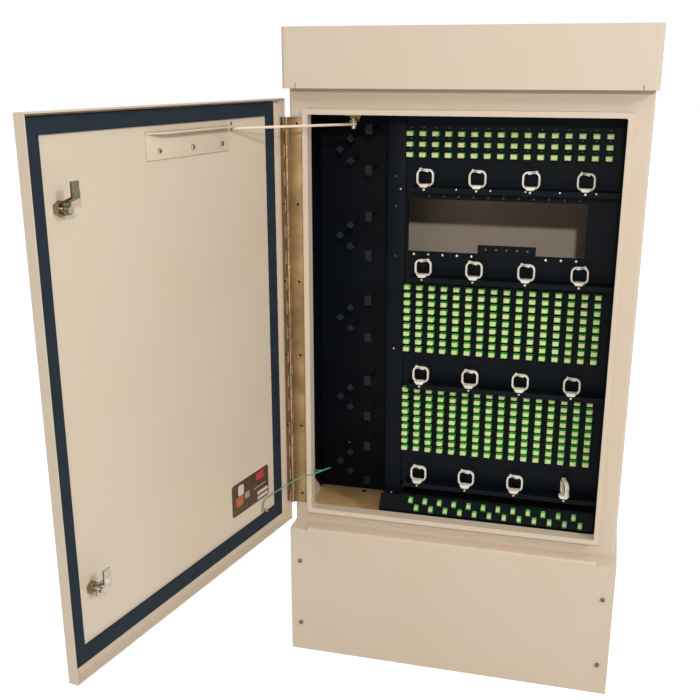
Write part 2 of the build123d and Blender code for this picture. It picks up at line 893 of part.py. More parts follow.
blocks = (
    ("top", top_block_height, top_block_pitch, top_block_rows),
    ("middle", middle_block_height, middle_block_pitch, middle_block_rows),
    ("lower", lower_block_height, lower_block_pitch, lower_block_rows),
)
for name, first_height, pitch, rows in blocks:
    centre_z = above_sill(first_height) + pitch * (rows - 1) / 2
    with BuildPart() as adapters:
        grid_prisms(adapter_front, adapter_body, centre_z, pitch, rows, adapter_width, adapter_height)
    save(adapters.part, f"{name}_adapters")
    with BuildPart() as dust_caps:
        cap_face = adapter_front - dust_cap
        grid_prisms(cap_face, dust_cap, centre_z, pitch, rows, dust_cap_width, dust_cap_height)
    save(dust_caps.part, f"{name}_dust_caps")

# Cable rings, four to a ledge: square loops with cut corners, each on a foot bent over the ledge's lip.
ring_y = inward(ring_front) + ring_thickness / 2
ring_half = ring_outer / 2
ring_zs = [above_sill(height) for height in ring_heights]
ring_first_x = panel_x0 + ring_left_margin
ring_pitch = (panel_x1 - ring_right_margin - ring_first_x) / (ring_count - 1)


def ring_shape(centre_x, centre_z, turn):
    """One ring standing upright, turned about its upright axis."""
    angle = math.radians(turn)
    normal = (math.sin(angle), math.cos(angle), 0)
    side = (-math.cos(angle), math.sin(angle), 0)
    start = Vector(centre_x, ring_y, centre_z) - Vector(*normal) * ring_thickness / 2
    with BuildSketch(Plane(origin=start, x_dir=side, z_dir=normal)) as outline:
        Rectangle(ring_outer, ring_outer)
        chamfer(outline.vertices(), ring_corner)
        offset(amount=-ring_stroke, kind=Kind.INTERSECTION, mode=Mode.SUBTRACT)
    extrude(outline.sketch, amount=ring_thickness)


def ring_foot(centre_x, seat_z):
    """A ring's foot: a strip that lies on the ledge and turns down in front of its lip."""
    x0 = centre_x - ring_foot_width / 2
    x1 = centre_x + ring_foot_width / 2
    block(x0, x1, foot_front, ring_y, seat_z, seat_z + ring_foot_sheet)
    block(x0, x1, foot_front, ledge_front, seat_z - ring_foot_drop, seat_z)


ledge_front = panel_y0 - ledge_depth
foot_front = ledge_front - ring_foot_sheet
for name, z in zip(ring_names, ring_zs):
    with BuildPart() as rings:
        for turn in range(ring_count):
            x = ring_first_x + turn * ring_pitch
            is_turned = name == ring_names[-1] and turn == ring_count - 1
            ring_shape(x, z, ring_turn if is_turned else 0)
            ring_foot(x, z - ring_half)
    save(rings.part, f"{name}_cable_rings")

ledge_x0 = panel_x0 + ledge_left_margin
ledge_x1 = panel_x1 - ledge_right_margin
with BuildPart() as ring_ledges:
    for z in ring_zs:
        ledge_z1 = z - ring_half
        ledge_z0 = ledge_z1 - ledge_sheet
        block(ledge_x0, ledge_x1, ledge_front, panel_y0, ledge_z0, ledge_z1)
        block(ledge_x0, ledge_x1, ledge_front, ledge_front + ledge_sheet, ledge_z1 - ledge_lip, ledge_z1)
        block(ledge_x0, ledge_x1, panel_y0 - ledge_sheet, panel_y0, ledge_z1 - ledge_flange, ledge_z1)
save(ring_ledges.part, "ring_ledges")

# Parking strip: a sloped sheet at the floor that holds spare connectors, with a shelf behind its fold.
tilt = math.radians(strip_tilt)
fold_y = inward(strip_fold_front)
fold_z = above_sill(strip_fold_height)
strip_low_y = fold_y - strip_length * math.sin(tilt)
strip_low_z = fold_z - strip_length * math.cos(tilt)
strip_x0 = divider_x0 - strip_left_lap
strip_x1 = panel_x1 - strip_right_margin
strip_back_y = inward(strip_shelf_back)
strip_back_z = fold_z + strip_shelf_rise
drop = Vector(0, -math.sin(tilt), -math.cos(tilt))
strip_normal = Vector(0, -math.cos(tilt), math.sin(tilt))
with BuildPart() as parking_strip:
    with BuildSketch(Plane.YZ.offset(strip_x0)):
        with BuildLine():
            Polyline(
                (strip_low_y, interior_floor),
                (strip_low_y, strip_low_z),
                (fold_y, fold_z),
                (strip_back_y, strip_back_z),
                (strip_back_y, strip_back_z - strip_sheet),
                (fold_y + strip_sheet / 2, fold_z - strip_sheet),
                (strip_low_y + strip_sheet, strip_low_z - strip_sheet / 2),
                (strip_low_y + strip_sheet, interior_floor),
                close=True,
            )
        make_face()
    extrude(amount=strip_x1 - strip_x0)
    block(
        strip_x0,
        divider_x1 + strip_gap,
        divider_y0 - strip_gap,
        strip_back_y,
        interior_floor,
        strip_back_z,
        mode=Mode.SUBTRACT,
    )
save(parking_strip.part, "parking_strip")

parking_first = panel_x0 + parking_left_margin
parking_last = panel_x1 - parking_right_margin
parking_pitch = (parking_last - parking_first) / (parking_columns - 1)
parking_middle = (parking_first + parking_last) / 2
parking_rows = ((0.0, parking_upper_drop), (parking_stagger, parking_lower_drop))


def parking_prisms(start, length, width, height):
    """The two rows of parked connectors, from start to start plus length off the sloped sheet."""
    for shift, distance in parking_rows:
        centre = Vector(parking_middle + shift, fold_y, fold_z) + drop * distance
        origin = centre + strip_normal * start
        with BuildSketch(Plane(origin=origin, x_dir=(1, 0, 0), z_dir=strip_normal)) as outline:
            with GridLocations(parking_pitch, height, parking_columns, 1):
                Rectangle(width, height)
        extrude(outline.sketch, amount=length)


with BuildPart() as parking_adapters:
    parking_prisms(0, parking_adapter, parking_adapter_width, parking_adapter_height)
save(parking_adapters.part, "parking_adapters")

with BuildPart() as parking_dust_caps:
    parking_prisms(parking_adapter, parking_cap, parking_cap_width, parking_cap_height)
save(parking_dust_caps.part, "parking_dust_caps")

# Slack storage: a plate between the housing's side and the divider, with fingers that fibre is wound on.
storage_y0 = inward(storage_front)
storage_x0 = left_x + body_wall + storage_wall_gap
with BuildPart() as storage_plate:
    block(
        storage_x0,
        divider_x0,
        storage_y0,
        storage_y0 + storage_sheet,
        interior_floor,
        divider_top,
    )
save(storage_plate.part, "storage_plate")

with BuildPart() as storage_fingers:
    for height in spool_heights:
        centre_z = above_sill(height)
        tips = (
            (across(spool_centre_x), centre_z + spool_pad_rise),
            (across(spool_centre_x) - spool_pad_side, centre_z),
            (across(spool_centre_x), centre_z - spool_pad_rise),
        )
        for x, z in tips:
            post = Plane(origin=(x, storage_y0 - spool_finger, z), x_dir=(-1, 0, 0), z_dir=(0, 1, 0))
            polygon_bar(post, spool_pad, spool_pad_sheet, sides=4)
            polygon_bar(post, spool_post_radius, spool_finger, sides=4)
        for side in (-1, 1):
            z = centre_z + side * spool_hub_rise
            x = across(spool_hub_x)
            front_frame(
                x - spool_hub_width / 2,
                x + spool_hub_width / 2,
                z - spool_hub_height / 2,
                z + spool_hub_height / 2,
                storage_y0 - spool_finger,
                storage_y0 - spool_finger + spool_pad_sheet,
            )
            post = Plane(origin=(x, storage_y0 - spool_finger, z), x_dir=(-1, 0, 0), z_dir=(0, 1, 0))
            polygon_bar(post, spool_post_radius, spool_finger, sides=4)
save(storage_fingers.part, "storage_fingers")

# Ground wire: it leaves the door's stud, passes over the rim and turns back to the lug inside it.
wire_route = (
    (-372.58, -278.65, 360.3),
    (-372.58, -278.65, 372.0),
    (-364.0, -270.0, 381.5),
    (-351.5, -257.5, 389.0),
    (-334.0, -244.5, 398.5),
    (-316.0, -233.5, 409.5),
    (-300.0, -225.0, 417.5),
    (-286.0, -219.0, 418.5),
    (-275.0, -208.0, 420.0),
    (-266.0, -198.5, 422.5),
    (-257.0, -191.5, 424.5),
    (-254.0, -182.5, 422.5),
    (-261.5, -177.0, 418.5),
    (-271.0, -186.0, 415.5),
    (-284.8, -189.0, 415.0),
)
corner_share = 0.45
wire_radii = []
for before, here, after in zip(wire_route, wire_route[1:], wire_route[2:]):
    arriving = Vector(*here) - Vector(*before)
    leaving = Vector(*after) - Vector(*here)
    half_turn = math.radians(arriving.get_angle(leaving) / 2)
    wire_radii.append(corner_share * min(arriving.length, leaving.length) / math.tan(half_turn))
print("wire radii", [round(radius, 1) for radius in wire_radii])
with BuildPart() as ground_wire:
    with BuildLine() as wire_path:
        FilletPolyline(*wire_route, radius=wire_radii)
    with BuildSketch(Plane(origin=wire_path.line @ 0, z_dir=wire_path.line % 0)):
        Circle(wire_radius)
    sweep()
wire_length = sum(edge.length for edge in wire_path.edges())
print("wire length", round(wire_length, 1))
wire_section = math.pi * wire_radius**2
print("wire volume share", round(ground_wire.part.volume / (wire_section * wire_length), 4))
save(ground_wire.part, "ground_wire")

# The rod's turn for the door's whole travel, which couples the two.
reach = rod_run.length
closed_y = front_y - stay_slide_y
closed_turn = math.asin((closed_y - pivot_y) / reach)
open_turn = math.atan2(rod_run.Y, rod_run.X)
print("stay ratio", round((closed_turn - open_turn) / math.radians(door_open_angle), 5))
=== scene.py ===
# %% [markdown]
# # A roadside cabinet for fibre connections
# The construction is already made: a frame of solid pieces, each at its real size and place. This script
# dresses it. It gives every piece its finish, and it replaces the pieces whose real form is rounder or finer
# than a plain solid: the connectors, the cable rings, the hinge, the screws, the gasket and the wire.

# %% Load the frame
import json
import math

import bmesh
import bpy
from mathutils import Matrix, Vector


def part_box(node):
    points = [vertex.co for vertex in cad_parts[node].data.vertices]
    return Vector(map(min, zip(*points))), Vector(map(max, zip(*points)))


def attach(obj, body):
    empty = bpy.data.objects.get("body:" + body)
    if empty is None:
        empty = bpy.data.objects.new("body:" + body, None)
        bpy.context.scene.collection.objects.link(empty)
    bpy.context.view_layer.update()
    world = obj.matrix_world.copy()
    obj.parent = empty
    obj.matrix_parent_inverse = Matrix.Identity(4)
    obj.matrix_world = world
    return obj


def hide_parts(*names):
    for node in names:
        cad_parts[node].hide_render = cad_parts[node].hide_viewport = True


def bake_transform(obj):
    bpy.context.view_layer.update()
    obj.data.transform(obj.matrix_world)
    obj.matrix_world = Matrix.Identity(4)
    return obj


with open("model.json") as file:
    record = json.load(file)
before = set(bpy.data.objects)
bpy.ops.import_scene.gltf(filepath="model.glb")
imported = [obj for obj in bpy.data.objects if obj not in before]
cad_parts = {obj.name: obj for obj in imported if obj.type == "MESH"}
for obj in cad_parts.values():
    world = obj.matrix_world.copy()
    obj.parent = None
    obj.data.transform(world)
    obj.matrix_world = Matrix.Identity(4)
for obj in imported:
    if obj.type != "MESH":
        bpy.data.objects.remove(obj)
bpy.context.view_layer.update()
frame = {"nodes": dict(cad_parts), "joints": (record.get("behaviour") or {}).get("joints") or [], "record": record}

MM = 0.001

# %% [markdown]
# ## Places
# The housing's left side, front face and bottom edge are the lines that a sheet-metal worker measures from.
# They are read from the frame, so every place below is a distance in millimetres from one of them. Pieces on
# the door are laid out as if it were shut, and then turned about the hinge to where it stands open.

# %% Datums and the door's swing
housing_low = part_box("cabinet_body")[0]
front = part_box("hinge_frame_leaf")[1].y
left = housing_low.x
sill = housing_low.z


def place(across, inward, up):
    """A point at distances in mm from the housing's left side, front face and bottom edge."""
    return Vector((left + across * MM, front + inward * MM, sill + up * MM))


door_joint = next(joint for joint in frame["joints"] if joint["name"] == "door_hinge")
hinge_axis = Vector(door_joint["pos_m"])
door_turn = math.radians(door_joint["range_deg"][1])
swing = (
    Matrix.Translation(hinge_axis)
    @ Matrix.Rotation(-door_turn, 4, "Z")
    @ Matrix.Translation(-hinge_axis)
)
print("front at", round(front, 4), "door open", round(math.degrees(door_turn), 2), "degrees")

# %% [markdown]
# ## Camera
# The camera stands in front and to the right, above the roof's height and looking down a little, so that
# the inside of the door and of the cabinet both show. The small shift repeats the photograph's framing.

# %% Camera
CAMERA_PLACE = (0.26891, -2.00941, 1.22673)
LOOKS_DOWN = 17.38
LOOKS_LEFT = 14.89
SENSOR_MM = 36
FOCAL_MM = 50.42
SHIFT_ACROSS = 0.0024
SHIFT_UP = 0.0316
camera_data = bpy.data.cameras.new("camera")
camera = bpy.data.objects.new("camera", camera_data)
bpy.context.scene.collection.objects.link(camera)
camera.location = CAMERA_PLACE
camera.rotation_euler = (math.radians(90 - LOOKS_DOWN), 0, math.radians(LOOKS_LEFT))
camera_data.sensor_width = SENSOR_MM
camera_data.lens = FOCAL_MM
camera_data.shift_x = SHIFT_ACROSS
camera_data.shift_y = SHIFT_UP
bpy.context.scene.camera = camera
print("camera at", tuple(round(value, 3) for value in camera.location))

# %% [markdown]
# ## Colours and nodes
# Colours are written as the sRGB hex values that a paint card gives. The renderer works in linear light, so
# one function converts them. A second function adds a shader node with its settings, values and links. The
# node that mixes colours gives several sockets the same name, so its sockets are counted instead.

# %% Colour and node helpers
COLOUR_A, COLOUR_B, MIXED = 6, 7, 2


def linear(hex_colour):
    """Turns an sRGB hex colour into linear RGBA."""
    channels = [int(hex_colour[i : i + 2], 16) / 255 for i in (1, 3, 5)]
    return [c / 12.92 if c <= 0.04045 else ((c + 0.055) / 1.055) ** 2.4 for c in channels] + [1.0]


def add_node(tree, kind, settings=None, values=None, links=None):
    """Adds a node to a material's tree, sets its options and inputs, and links its inputs."""
    node = tree.nodes.new(kind)
    for name, value in (settings or {}).items():
        setattr(node, name, value)
    for name, value in (values or {}).items():
        node.inputs[name].default_value = value
    for name, source in (links or {}).items():
        tree.links.new(source, node.inputs[name])
    return node


def new_finish(name, colour, roughness, **extra):
    """A material with one surface shader, and the tree and shader to build on."""
    material = bpy.data.materials.new(name)
    material.use_nodes = True
    tree = material.node_tree
    shader = tree.nodes["Principled BSDF"]
    shader.inputs["Base Color"].default_value = linear(colour)
    shader.inputs["Roughness"].default_value = roughness
    for socket, value in extra.items():
        shader.inputs[socket.replace("_", " ")].default_value = value
    return material, tree, shader


print("half grey in linear light", [round(channel, 3) for channel in linear("#808080")])

# %% [markdown]
# ## Coated sheet
# The housing, roof, plinth and door are aluminium sheet with a tan polyester powder coat. Baked powder has a
# satin sheen, a faint orange peel and a soft round at every bent or cut edge, which catches a line of light.
# Under it the colour drifts a little from dust and sun. The black parts inside have the same kind of coat.

# %% Powder coat


def powder_coat(name, colour, drift, roughness, shine, peel_mm, edge_mm):
    """A baked powder coat: slow colour drift, satin sheen, faint orange peel and rounded edges."""
    material, tree, shader = new_finish(name, colour, roughness, Specular_IOR_Level=shine)
    where = add_node(tree, "ShaderNodeTexCoord")
    clouds = add_node(
        tree,
        "ShaderNodeTexNoise",
        values={"Scale": 5.0, "Detail": 4.0, "Roughness": 0.6},
        links={"Vector": where.outputs["Object"]},
    )
    tone = add_node(
        tree,
        "ShaderNodeMix",
        {"data_type": "RGBA"},
        {COLOUR_A: linear(colour), COLOUR_B: linear(drift)},
        {"Factor": clouds.outputs["Fac"]},
    )
    sheen = add_node(
        tree,
        "ShaderNodeMapRange",
        values={"To Min": roughness - 0.05, "To Max": roughness + 0.08},
        links={"Value": clouds.outputs["Fac"]},
    )
    edges = add_node(tree, "ShaderNodeBevel", {"samples": 4}, {"Radius": edge_mm * MM})
    peel = add_node(
        tree,
        "ShaderNodeTexNoise",
        values={"Scale": 1 / (peel_mm * MM), "Detail": 1.0},
        links={"Vector": where.outputs["Object"]},
    )
    relief = add_node(
        tree,
        "ShaderNodeBump",
        values={"Strength": 0.12, "Distance": 0.02 * MM},
        links={"Height": peel.outputs["Fac"], "Normal": edges.outputs["Normal"]},
    )
    tree.links.new(tone.outputs[MIXED], shader.inputs["Base Color"])
    tree.links.new(sheen.outputs["Result"], shader.inputs["Roughness"])
    tree.links.new(relief.outputs["Normal"], shader.inputs["Normal"])
    return material


# warm sand that stays matt in the light and goes golden where it faces itself
tan_coat = powder_coat("tan_powder_coat", "#D3C0A9", "#DACAB5", 0.48, 0.4, 1.6, 1.6)
# nearly black with a cold cast, its folds shown by soft highlights alone
black_coat = powder_coat("black_powder_coat", "#070B10", "#0B1117", 0.5, 0.09, 1.2, 1.0)
# a slate grey that reads a step lighter than the sheet behind it
black_nylon = powder_coat("moulded_black_nylon", "#161B20", "#20262B", 0.5, 0.2, 2.0, 1.0)
print("made", tan_coat.name, black_coat.name, black_nylon.name)

# %% [markdown]
# ## Plated and painted metal
# Screws, latch parts and the stay's fixings are steel with bright zinc, which has a soft reflection and
# cloudy patches where the plating has dulled. The hinge has an aged golden plate that dulls in long streaks.

# %% Plated metal


def plated_metal(name, bright, dull, roughness, cloud_mm):
    """A plated metal: two tones in cloudy patches, and a reflection blurred more on the dull ones."""
    material, tree, shader = new_finish(name, bright, roughness, Metallic=1.0)
    where = add_node(tree, "ShaderNodeTexCoord")
    clouds = add_node(
        tree,
        "ShaderNodeTexNoise",
        values={"Scale": 1 / (cloud_mm * MM), "Detail": 3.0, "Roughness": 0.55},
        links={"Vector": where.outputs["Object"]},
    )
    spread = add_node(
        tree,
        "ShaderNodeMapRange",
        values={"From Min": 0.35, "From Max": 0.65},
        links={"Value": clouds.outputs["Fac"]},
    )
    tone = add_node(
        tree,
        "ShaderNodeMix",
        {"data_type": "RGBA"},
        {COLOUR_A: linear(bright), COLOUR_B: linear(dull)},
        {"Factor": spread.outputs["Result"]},
    )
    blur = add_node(
        tree,
        "ShaderNodeMapRange",
        values={"To Min": roughness - 0.06, "To Max": roughness + 0.1},
        links={"Value": spread.outputs["Result"]},
    )
    edges = add_node(tree, "ShaderNodeBevel", {"samples": 4}, {"Radius": 0.6 * MM})
    tree.links.new(tone.outputs[MIXED], shader.inputs["Base Color"])
    tree.links.new(blur.outputs["Result"], shader.inputs["Roughness"])
    tree.links.new(edges.outputs["Normal"], shader.inputs["Normal"])
    return material


# silver grey that mirrors the room softly
zinc = plated_metal("bright_zinc_plate", "#CFCBC0", "#A9A496", 0.3, 6.0)
# an olive grey cast metal, darker where it faces down
cast_zinc = plated_metal("dull_cast_zinc", "#9C967C", "#77704F", 0.34, 9.0)
# golden brown, nearly even, with long soft streaks
bronze = plated_metal("aged_golden_plate", "#AC8E66", "#8F7350", 0.5, 60.0)
# the dark oxide of small screws, which reads as dots
dark_oxide = plated_metal("black_oxide", "#2B2119", "#1A140F", 0.45, 3.0)
# brownish plate on the cover's screws
brown_plate = plated_metal("weathered_brown_plate", "#86715A", "#5E4C3A", 0.42, 4.0)
print("made", zinc.name, cast_zinc.name, bronze.name, dark_oxide.name, brown_plate.name)

# %% [markdown]
# ## Plastics, foam and paint
# Connector bodies for angled fibre ends are green by convention, moulded in a hard glossy plastic. Their dust
# caps are a softer milky plastic that lets a little light in. The rings are natural nylon, a warm white.
# Each moulding differs a little in tone, which patches as large as one connector give.

# %% Moulded plastics


def moulded(name, colour, drift, roughness, patch_mm, translucency=0.0):
    """A moulded plastic or a plain paint whose tone drifts over patches of a given size."""
    material, tree, shader = new_finish(name, colour, roughness)
    shader.inputs["Subsurface Weight"].default_value = translucency
    shader.inputs["Subsurface Scale"].default_value = 2 * MM
    where = add_node(tree, "ShaderNodeTexCoord")
    patches = add_node(
        tree,
        "ShaderNodeTexNoise",
        values={"Scale": 1 / (patch_mm * MM), "Detail": 2.0},
        links={"Vector": where.outputs["Object"]},
    )
    spread = add_node(
        tree,
        "ShaderNodeMapRange",
        values={"From Min": 0.38, "From Max": 0.62},
        links={"Value": patches.outputs["Fac"]},
    )
    tone = add_node(
        tree,
        "ShaderNodeMix",
        {"data_type": "RGBA"},
        {COLOUR_A: linear(colour), COLOUR_B: linear(drift)},
        {"Factor": spread.outputs["Result"]},
    )
    tree.links.new(tone.outputs[MIXED], shader.inputs["Base Color"])
    return material


# a saturated leaf green, glossy on its upper faces
green_body = moulded("green_connector_plastic", "#25B236", "#41C94A", 0.3, 22.0)
# milky plastic with the green showing through it
cream_cap = moulded("milky_dust_cap_plastic", "#C9DC86", "#DCDBA6", 0.42, 20.0, 0.15)
# natural nylon, warm white
nylon = moulded("natural_nylon", "#F2EADF", "#E4D8C6", 0.45, 30.0, 0.1)
# painted reflection: the bright zinc stay rod drawn as a matt pale cream, which stands for its glare and the tan
# door it mirrors
rod_painted_glare = moulded("rod_painted_glare", "#EED6C4", "#E6CBB4", 0.4, 30.0)
# painted shade: the grey seen inside a shaded punched hole, laid on a flat disc; the same grey is the ink of the
# port marks
hole_shade_and_mark_grey = moulded("painted_hole_shade_and_mark_grey", "#4A555B", "#3C464C", 0.7, 4.0)
# painted bounce light: the bay's tan floor drawn a deep golden, which stands for the warm light bounced into its
# shade, where it reads as brown
bay_floor_bounce_gold = moulded("bay_floor_painted_bounce", "#E0B57E", "#D2A56C", 0.5, 60.0)
# the shadow in an open slot
slot_shadow = moulded("slot_shadow_brown", "#2A1D14", "#3A281B", 0.8, 3.0)
print("made", green_body.name, cream_cap.name, nylon.name, rod_painted_glare.name, hole_shade_and_mark_grey.name)

# %% [markdown]
# ## Foam
# The gasket is closed-cell foam: matt, a blue-black slate in tone, with a skin dimpled by its cells.

# %% Closed-cell foam
foam, foam_tree, foam_shader = new_finish("closed_cell_foam", "#1E2830", 0.8, Specular_IOR_Level=0.2)
foam_where = add_node(foam_tree, "ShaderNodeTexCoord")
foam_cells = add_node(
    foam_tree,
    "ShaderNodeTexVoronoi",
    values={"Scale": 1 / (2.5 * MM)},
    links={"Vector": foam_where.outputs["Object"]},
)
foam_patches = add_node(
    foam_tree,
    "ShaderNodeTexNoise",
    values={"Scale": 30.0, "Detail": 4.0},
    links={"Vector": foam_where.outputs["Object"]},
)
foam_tone = add_node(
    foam_tree,
    "ShaderNodeMix",
    {"data_type": "RGBA"},
    {COLOUR_A: linear("#161F28"), COLOUR_B: linear("#26323C")},
    {"Factor": foam_patches.outputs["Fac"]},
)
foam_relief = add_node(
    foam_tree,
    "ShaderNodeBump",
    values={"Strength": 0.4, "Distance": 0.3 * MM},
    links={"Height": foam_cells.outputs["Distance"]},
)
foam_tree.links.new(foam_tone.outputs[MIXED], foam_shader.inputs["Base Color"])
foam_tree.links.new(foam_relief.outputs["Normal"], foam_shader.inputs["Normal"])
print("made", foam.name)

# %% [markdown]
# ## Wire sheath
# The sheath is green, and turns to a pale grey towards the door, where it lies in the open.

# %% Wire sheath
sheath, sheath_tree, sheath_shader = new_finish("green_wire_sheath", "#3C8A66", 0.38)
sheath_where = add_node(sheath_tree, "ShaderNodeTexCoord")
sheath_place = add_node(
    sheath_tree, "ShaderNodeSeparateXYZ", links={"Vector": sheath_where.outputs["Object"]}
)
sheath_fade = add_node(
    sheath_tree,
    "ShaderNodeMapRange",
    values={"From Min": -0.365, "From Max": -0.285},
    links={"Value": sheath_place.outputs["X"]},
)
sheath_tone = add_node(
    sheath_tree,
    "ShaderNodeMix",
    {"data_type": "RGBA"},
    {COLOUR_A: linear("#7C7A66"), COLOUR_B: linear("#3E9C80")},
    {"Factor": sheath_fade.outputs["Result"]},
)
sheath_tree.links.new(sheath_tone.outputs[MIXED], sheath_shader.inputs["Base Color"])
print("made", sheath.name)

# %% [markdown]
# ## Finishes on the frame's own pieces
# Most pieces keep the solid's shape, which is right as it is, and only take a finish. The record names a
# material slot for every piece, so one table from slot to finish dresses them all. A few pieces of one slot
# look different on the real cabinet, and a second table names those.

# %% Dress the solids
finish_of_slot = {
    "tan_paint": tan_coat,
    "black_paint": black_coat,
    "zinc": zinc,
    "bronze": bronze,
    "foam": foam,
    "green_plastic": green_body,
    "cream_plastic": cream_cap,
    "white_plastic": nylon,
    "black_plastic": black_nylon,
    "green_wire": sheath,
}
finish_of_node = {
    # the rod's pale cream is a painted glare on its zinc
    "stay_rod": rod_painted_glare,
    "upper_latch_body": cast_zinc,
    "lower_latch_body": cast_zinc,
    "upper_latch_cam": cast_zinc,
    "ground_stud": zinc,
}
slot_of_node = {part["node"]: part["material_slot"] for part in frame["record"]["subparts"]}
for node, solid in frame["nodes"].items():
    for material_slot in solid.material_slots:
        material_slot.material = finish_of_node.get(node, finish_of_slot[slot_of_node[node]])
print("dressed", len(slot_of_node), "solids")

# %% [markdown]
# ## Mesh helpers
# New pieces are built point by point and face by face. A prism with rounded edges is the workhorse: a box
# whose edges are bevelled, because moulded and folded things have no knife edges and the round catches light.

# %% Mesh helpers


def add_prism(shape, size, matrix, round_by=0.0, segments=2):
    """Adds a box of a given size in metres to a mesh in the making, its edges rounded."""
    made = bmesh.ops.create_cube(shape, size=1.0, matrix=matrix @ Matrix.Diagonal((*size, 1.0)))
    if round_by:
        edges = {edge for vertex in made["verts"] for edge in vertex.link_edges}
        bmesh.ops.bevel(
            shape, geom=list(edges), offset=round_by, segments=segments, affect="EDGES", profile=0.5
        )


def add_block(shape, low, high, round_by=0.0):
    """Adds a box between two corners, its edges rounded by a size in mm."""
    add_prism(shape, high - low, Matrix.Translation((low + high) / 2), round_by * MM)


def add_round(shape, radius, length, matrix, sides=24, edge=0.0):
    """Adds a round bar that starts at the matrix's origin and runs along its +Z, its rims bevelled."""
    made = bmesh.ops.create_cone(
        shape,
        cap_ends=True,
        segments=sides,
        radius1=radius,
        radius2=radius,
        depth=length,
        matrix=matrix @ Matrix.Translation((0, 0, length / 2)),
    )
    if edge:
        rims = {
            rim
            for vertex in made["verts"]
            for rim in vertex.link_edges
            if any(len(face.verts) > 4 for face in rim.link_faces)
        }
        bmesh.ops.bevel(shape, geom=list(rims), offset=edge, segments=2, affect="EDGES", profile=0.5)


def add_slab(shape, outline, thickness, matrix, round_by=0.0):
    """Adds a slab whose outline is given in mm in the matrix's XY plane, and its thickness along +Z."""
    rims = [
        [shape.verts.new(matrix @ (Vector((x, y, lift)) * MM)) for x, y in outline]
        for lift in (0.0, thickness)
    ]
    faces = [shape.faces.new(list(reversed(rims[0]))), shape.faces.new(rims[1])]
    for index in range(len(outline)):
        following = (index + 1) % len(outline)
        faces.append(
            shape.faces.new((rims[0][index], rims[0][following], rims[1][following], rims[1][index]))
        )
    if round_by:
        edges = {edge for face in faces for edge in face.edges}
        bmesh.ops.bevel(
            shape, geom=list(edges), offset=round_by * MM, segments=2, affect="EDGES", profile=0.5
        )


def smooth_object(name, shape, finish):
    """Turns a mesh in the making into a smooth-shaded object with one finish."""
    mesh = bpy.data.meshes.new(name)
    bmesh.ops.recalc_face_normals(shape, faces=shape.faces)
    shape.to_mesh(mesh)
    shape.free()
    mesh.materials.append(finish)
    mesh.shade_smooth()
    made = bpy.data.objects.new(name, mesh)
    bpy.context.scene.collection.objects.link(made)
    return made


def make_piece(name, shape, finish, body, nodes=(), door_side=False, sharp_deg=35):
    """Turns a mesh in the making into a piece that rides on a body and may stand for some solids."""
    if door_side:
        shape.transform(swing)
    piece = smooth_object(name, shape, finish)
    piece.data.set_sharp_from_angle(angle=math.radians(sharp_deg))
    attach(piece, body)
    if nodes:
        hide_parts(*nodes)
    print(name, "has", len(piece.data.polygons), "faces")
    return piece


def facing(point, normal, up=(0, 0, 1)):
    """A matrix at a point whose +Z runs along a normal and whose +Y is as near up as it can be."""
    z_axis = Vector(normal).normalized()
    up_axis = Vector(up)
    if abs(z_axis.dot(up_axis)) > 0.99:
        up_axis = Vector((0, 1, 0))
    x_axis = up_axis.cross(z_axis).normalized()
    y_axis = z_axis.cross(x_axis)
    turn = Matrix((x_axis, y_axis, z_axis)).transposed().to_4x4()
    return Matrix.Translation(point) @ turn


FORWARD = Vector((0, -1, 0))
INWARD = Vector((0, 1, 0))
print("the front faces", tuple(FORWARD))

# %% [markdown]
# ## Connectors and dust caps
# Each connector is a hard green body clipped to the panel, with a stepped collar and a milky cap pushed into
# its mouth. One is modelled, and it is repeated over the grid that the solids mark out.

# %% Connector blocks
COLUMNS = 16
ADAPTER = (12.7 * MM, 9.3 * MM)
WAIST_CUT = (1.2 * MM, 1.0 * MM)
COLLAR_DEPTH = 2.6 * MM
COLLAR_PLACE = 0.62
CAP = (10.0 * MM, 8.0 * MM)
CAP_BRIM = (1.7 * MM, 0.7 * MM)
CAP_BLOCK = 0.75
CAP_FACE = (0.78, 0.74)


def grid_centres(node, columns, rows, width, height):
    """Centres of the front faces of a block's grid of pieces, from the block's own corners."""
    low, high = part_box(node)
    step_x = (high.x - low.x - width) / (columns - 1)
    step_z = (high.z - low.z - height) / (rows - 1)
    return [
        Vector((low.x + width / 2 + column * step_x, low.y, low.z + height / 2 + row * step_z))
        for row in range(rows)
        for column in range(columns)
    ]


def behind(seat, distance):
    """A matrix like a seat's, moved back along its normal."""
    return seat @ Matrix.Translation((0, 0, -distance))


def add_adapter(shape, seat, width, height, depth):
    """A connector body behind a point on its front face: a block with a collar at its panel end."""
    waist = (width - WAIST_CUT[0], height - WAIST_CUT[1], depth)
    add_prism(shape, waist, behind(seat, depth / 2), 0.5 * MM, 1)
    collar = (width, height, COLLAR_DEPTH)
    add_prism(shape, collar, behind(seat, depth * COLLAR_PLACE), 0.4 * MM, 1)


def add_cap(shape, seat, width, height, depth):
    """A dust cap in front of a point: a rounded block with a smaller raised face."""
    raised = 1 - CAP_BLOCK
    add_prism(shape, (width, height, depth * CAP_BLOCK), behind(seat, depth * (1 - CAP_BLOCK / 2)), 1.1 * MM)
    face = (width * CAP_FACE[0], height * CAP_FACE[1], depth * raised)
    add_prism(shape, face, behind(seat, depth * (raised / 2)), 0.5 * MM, 1)


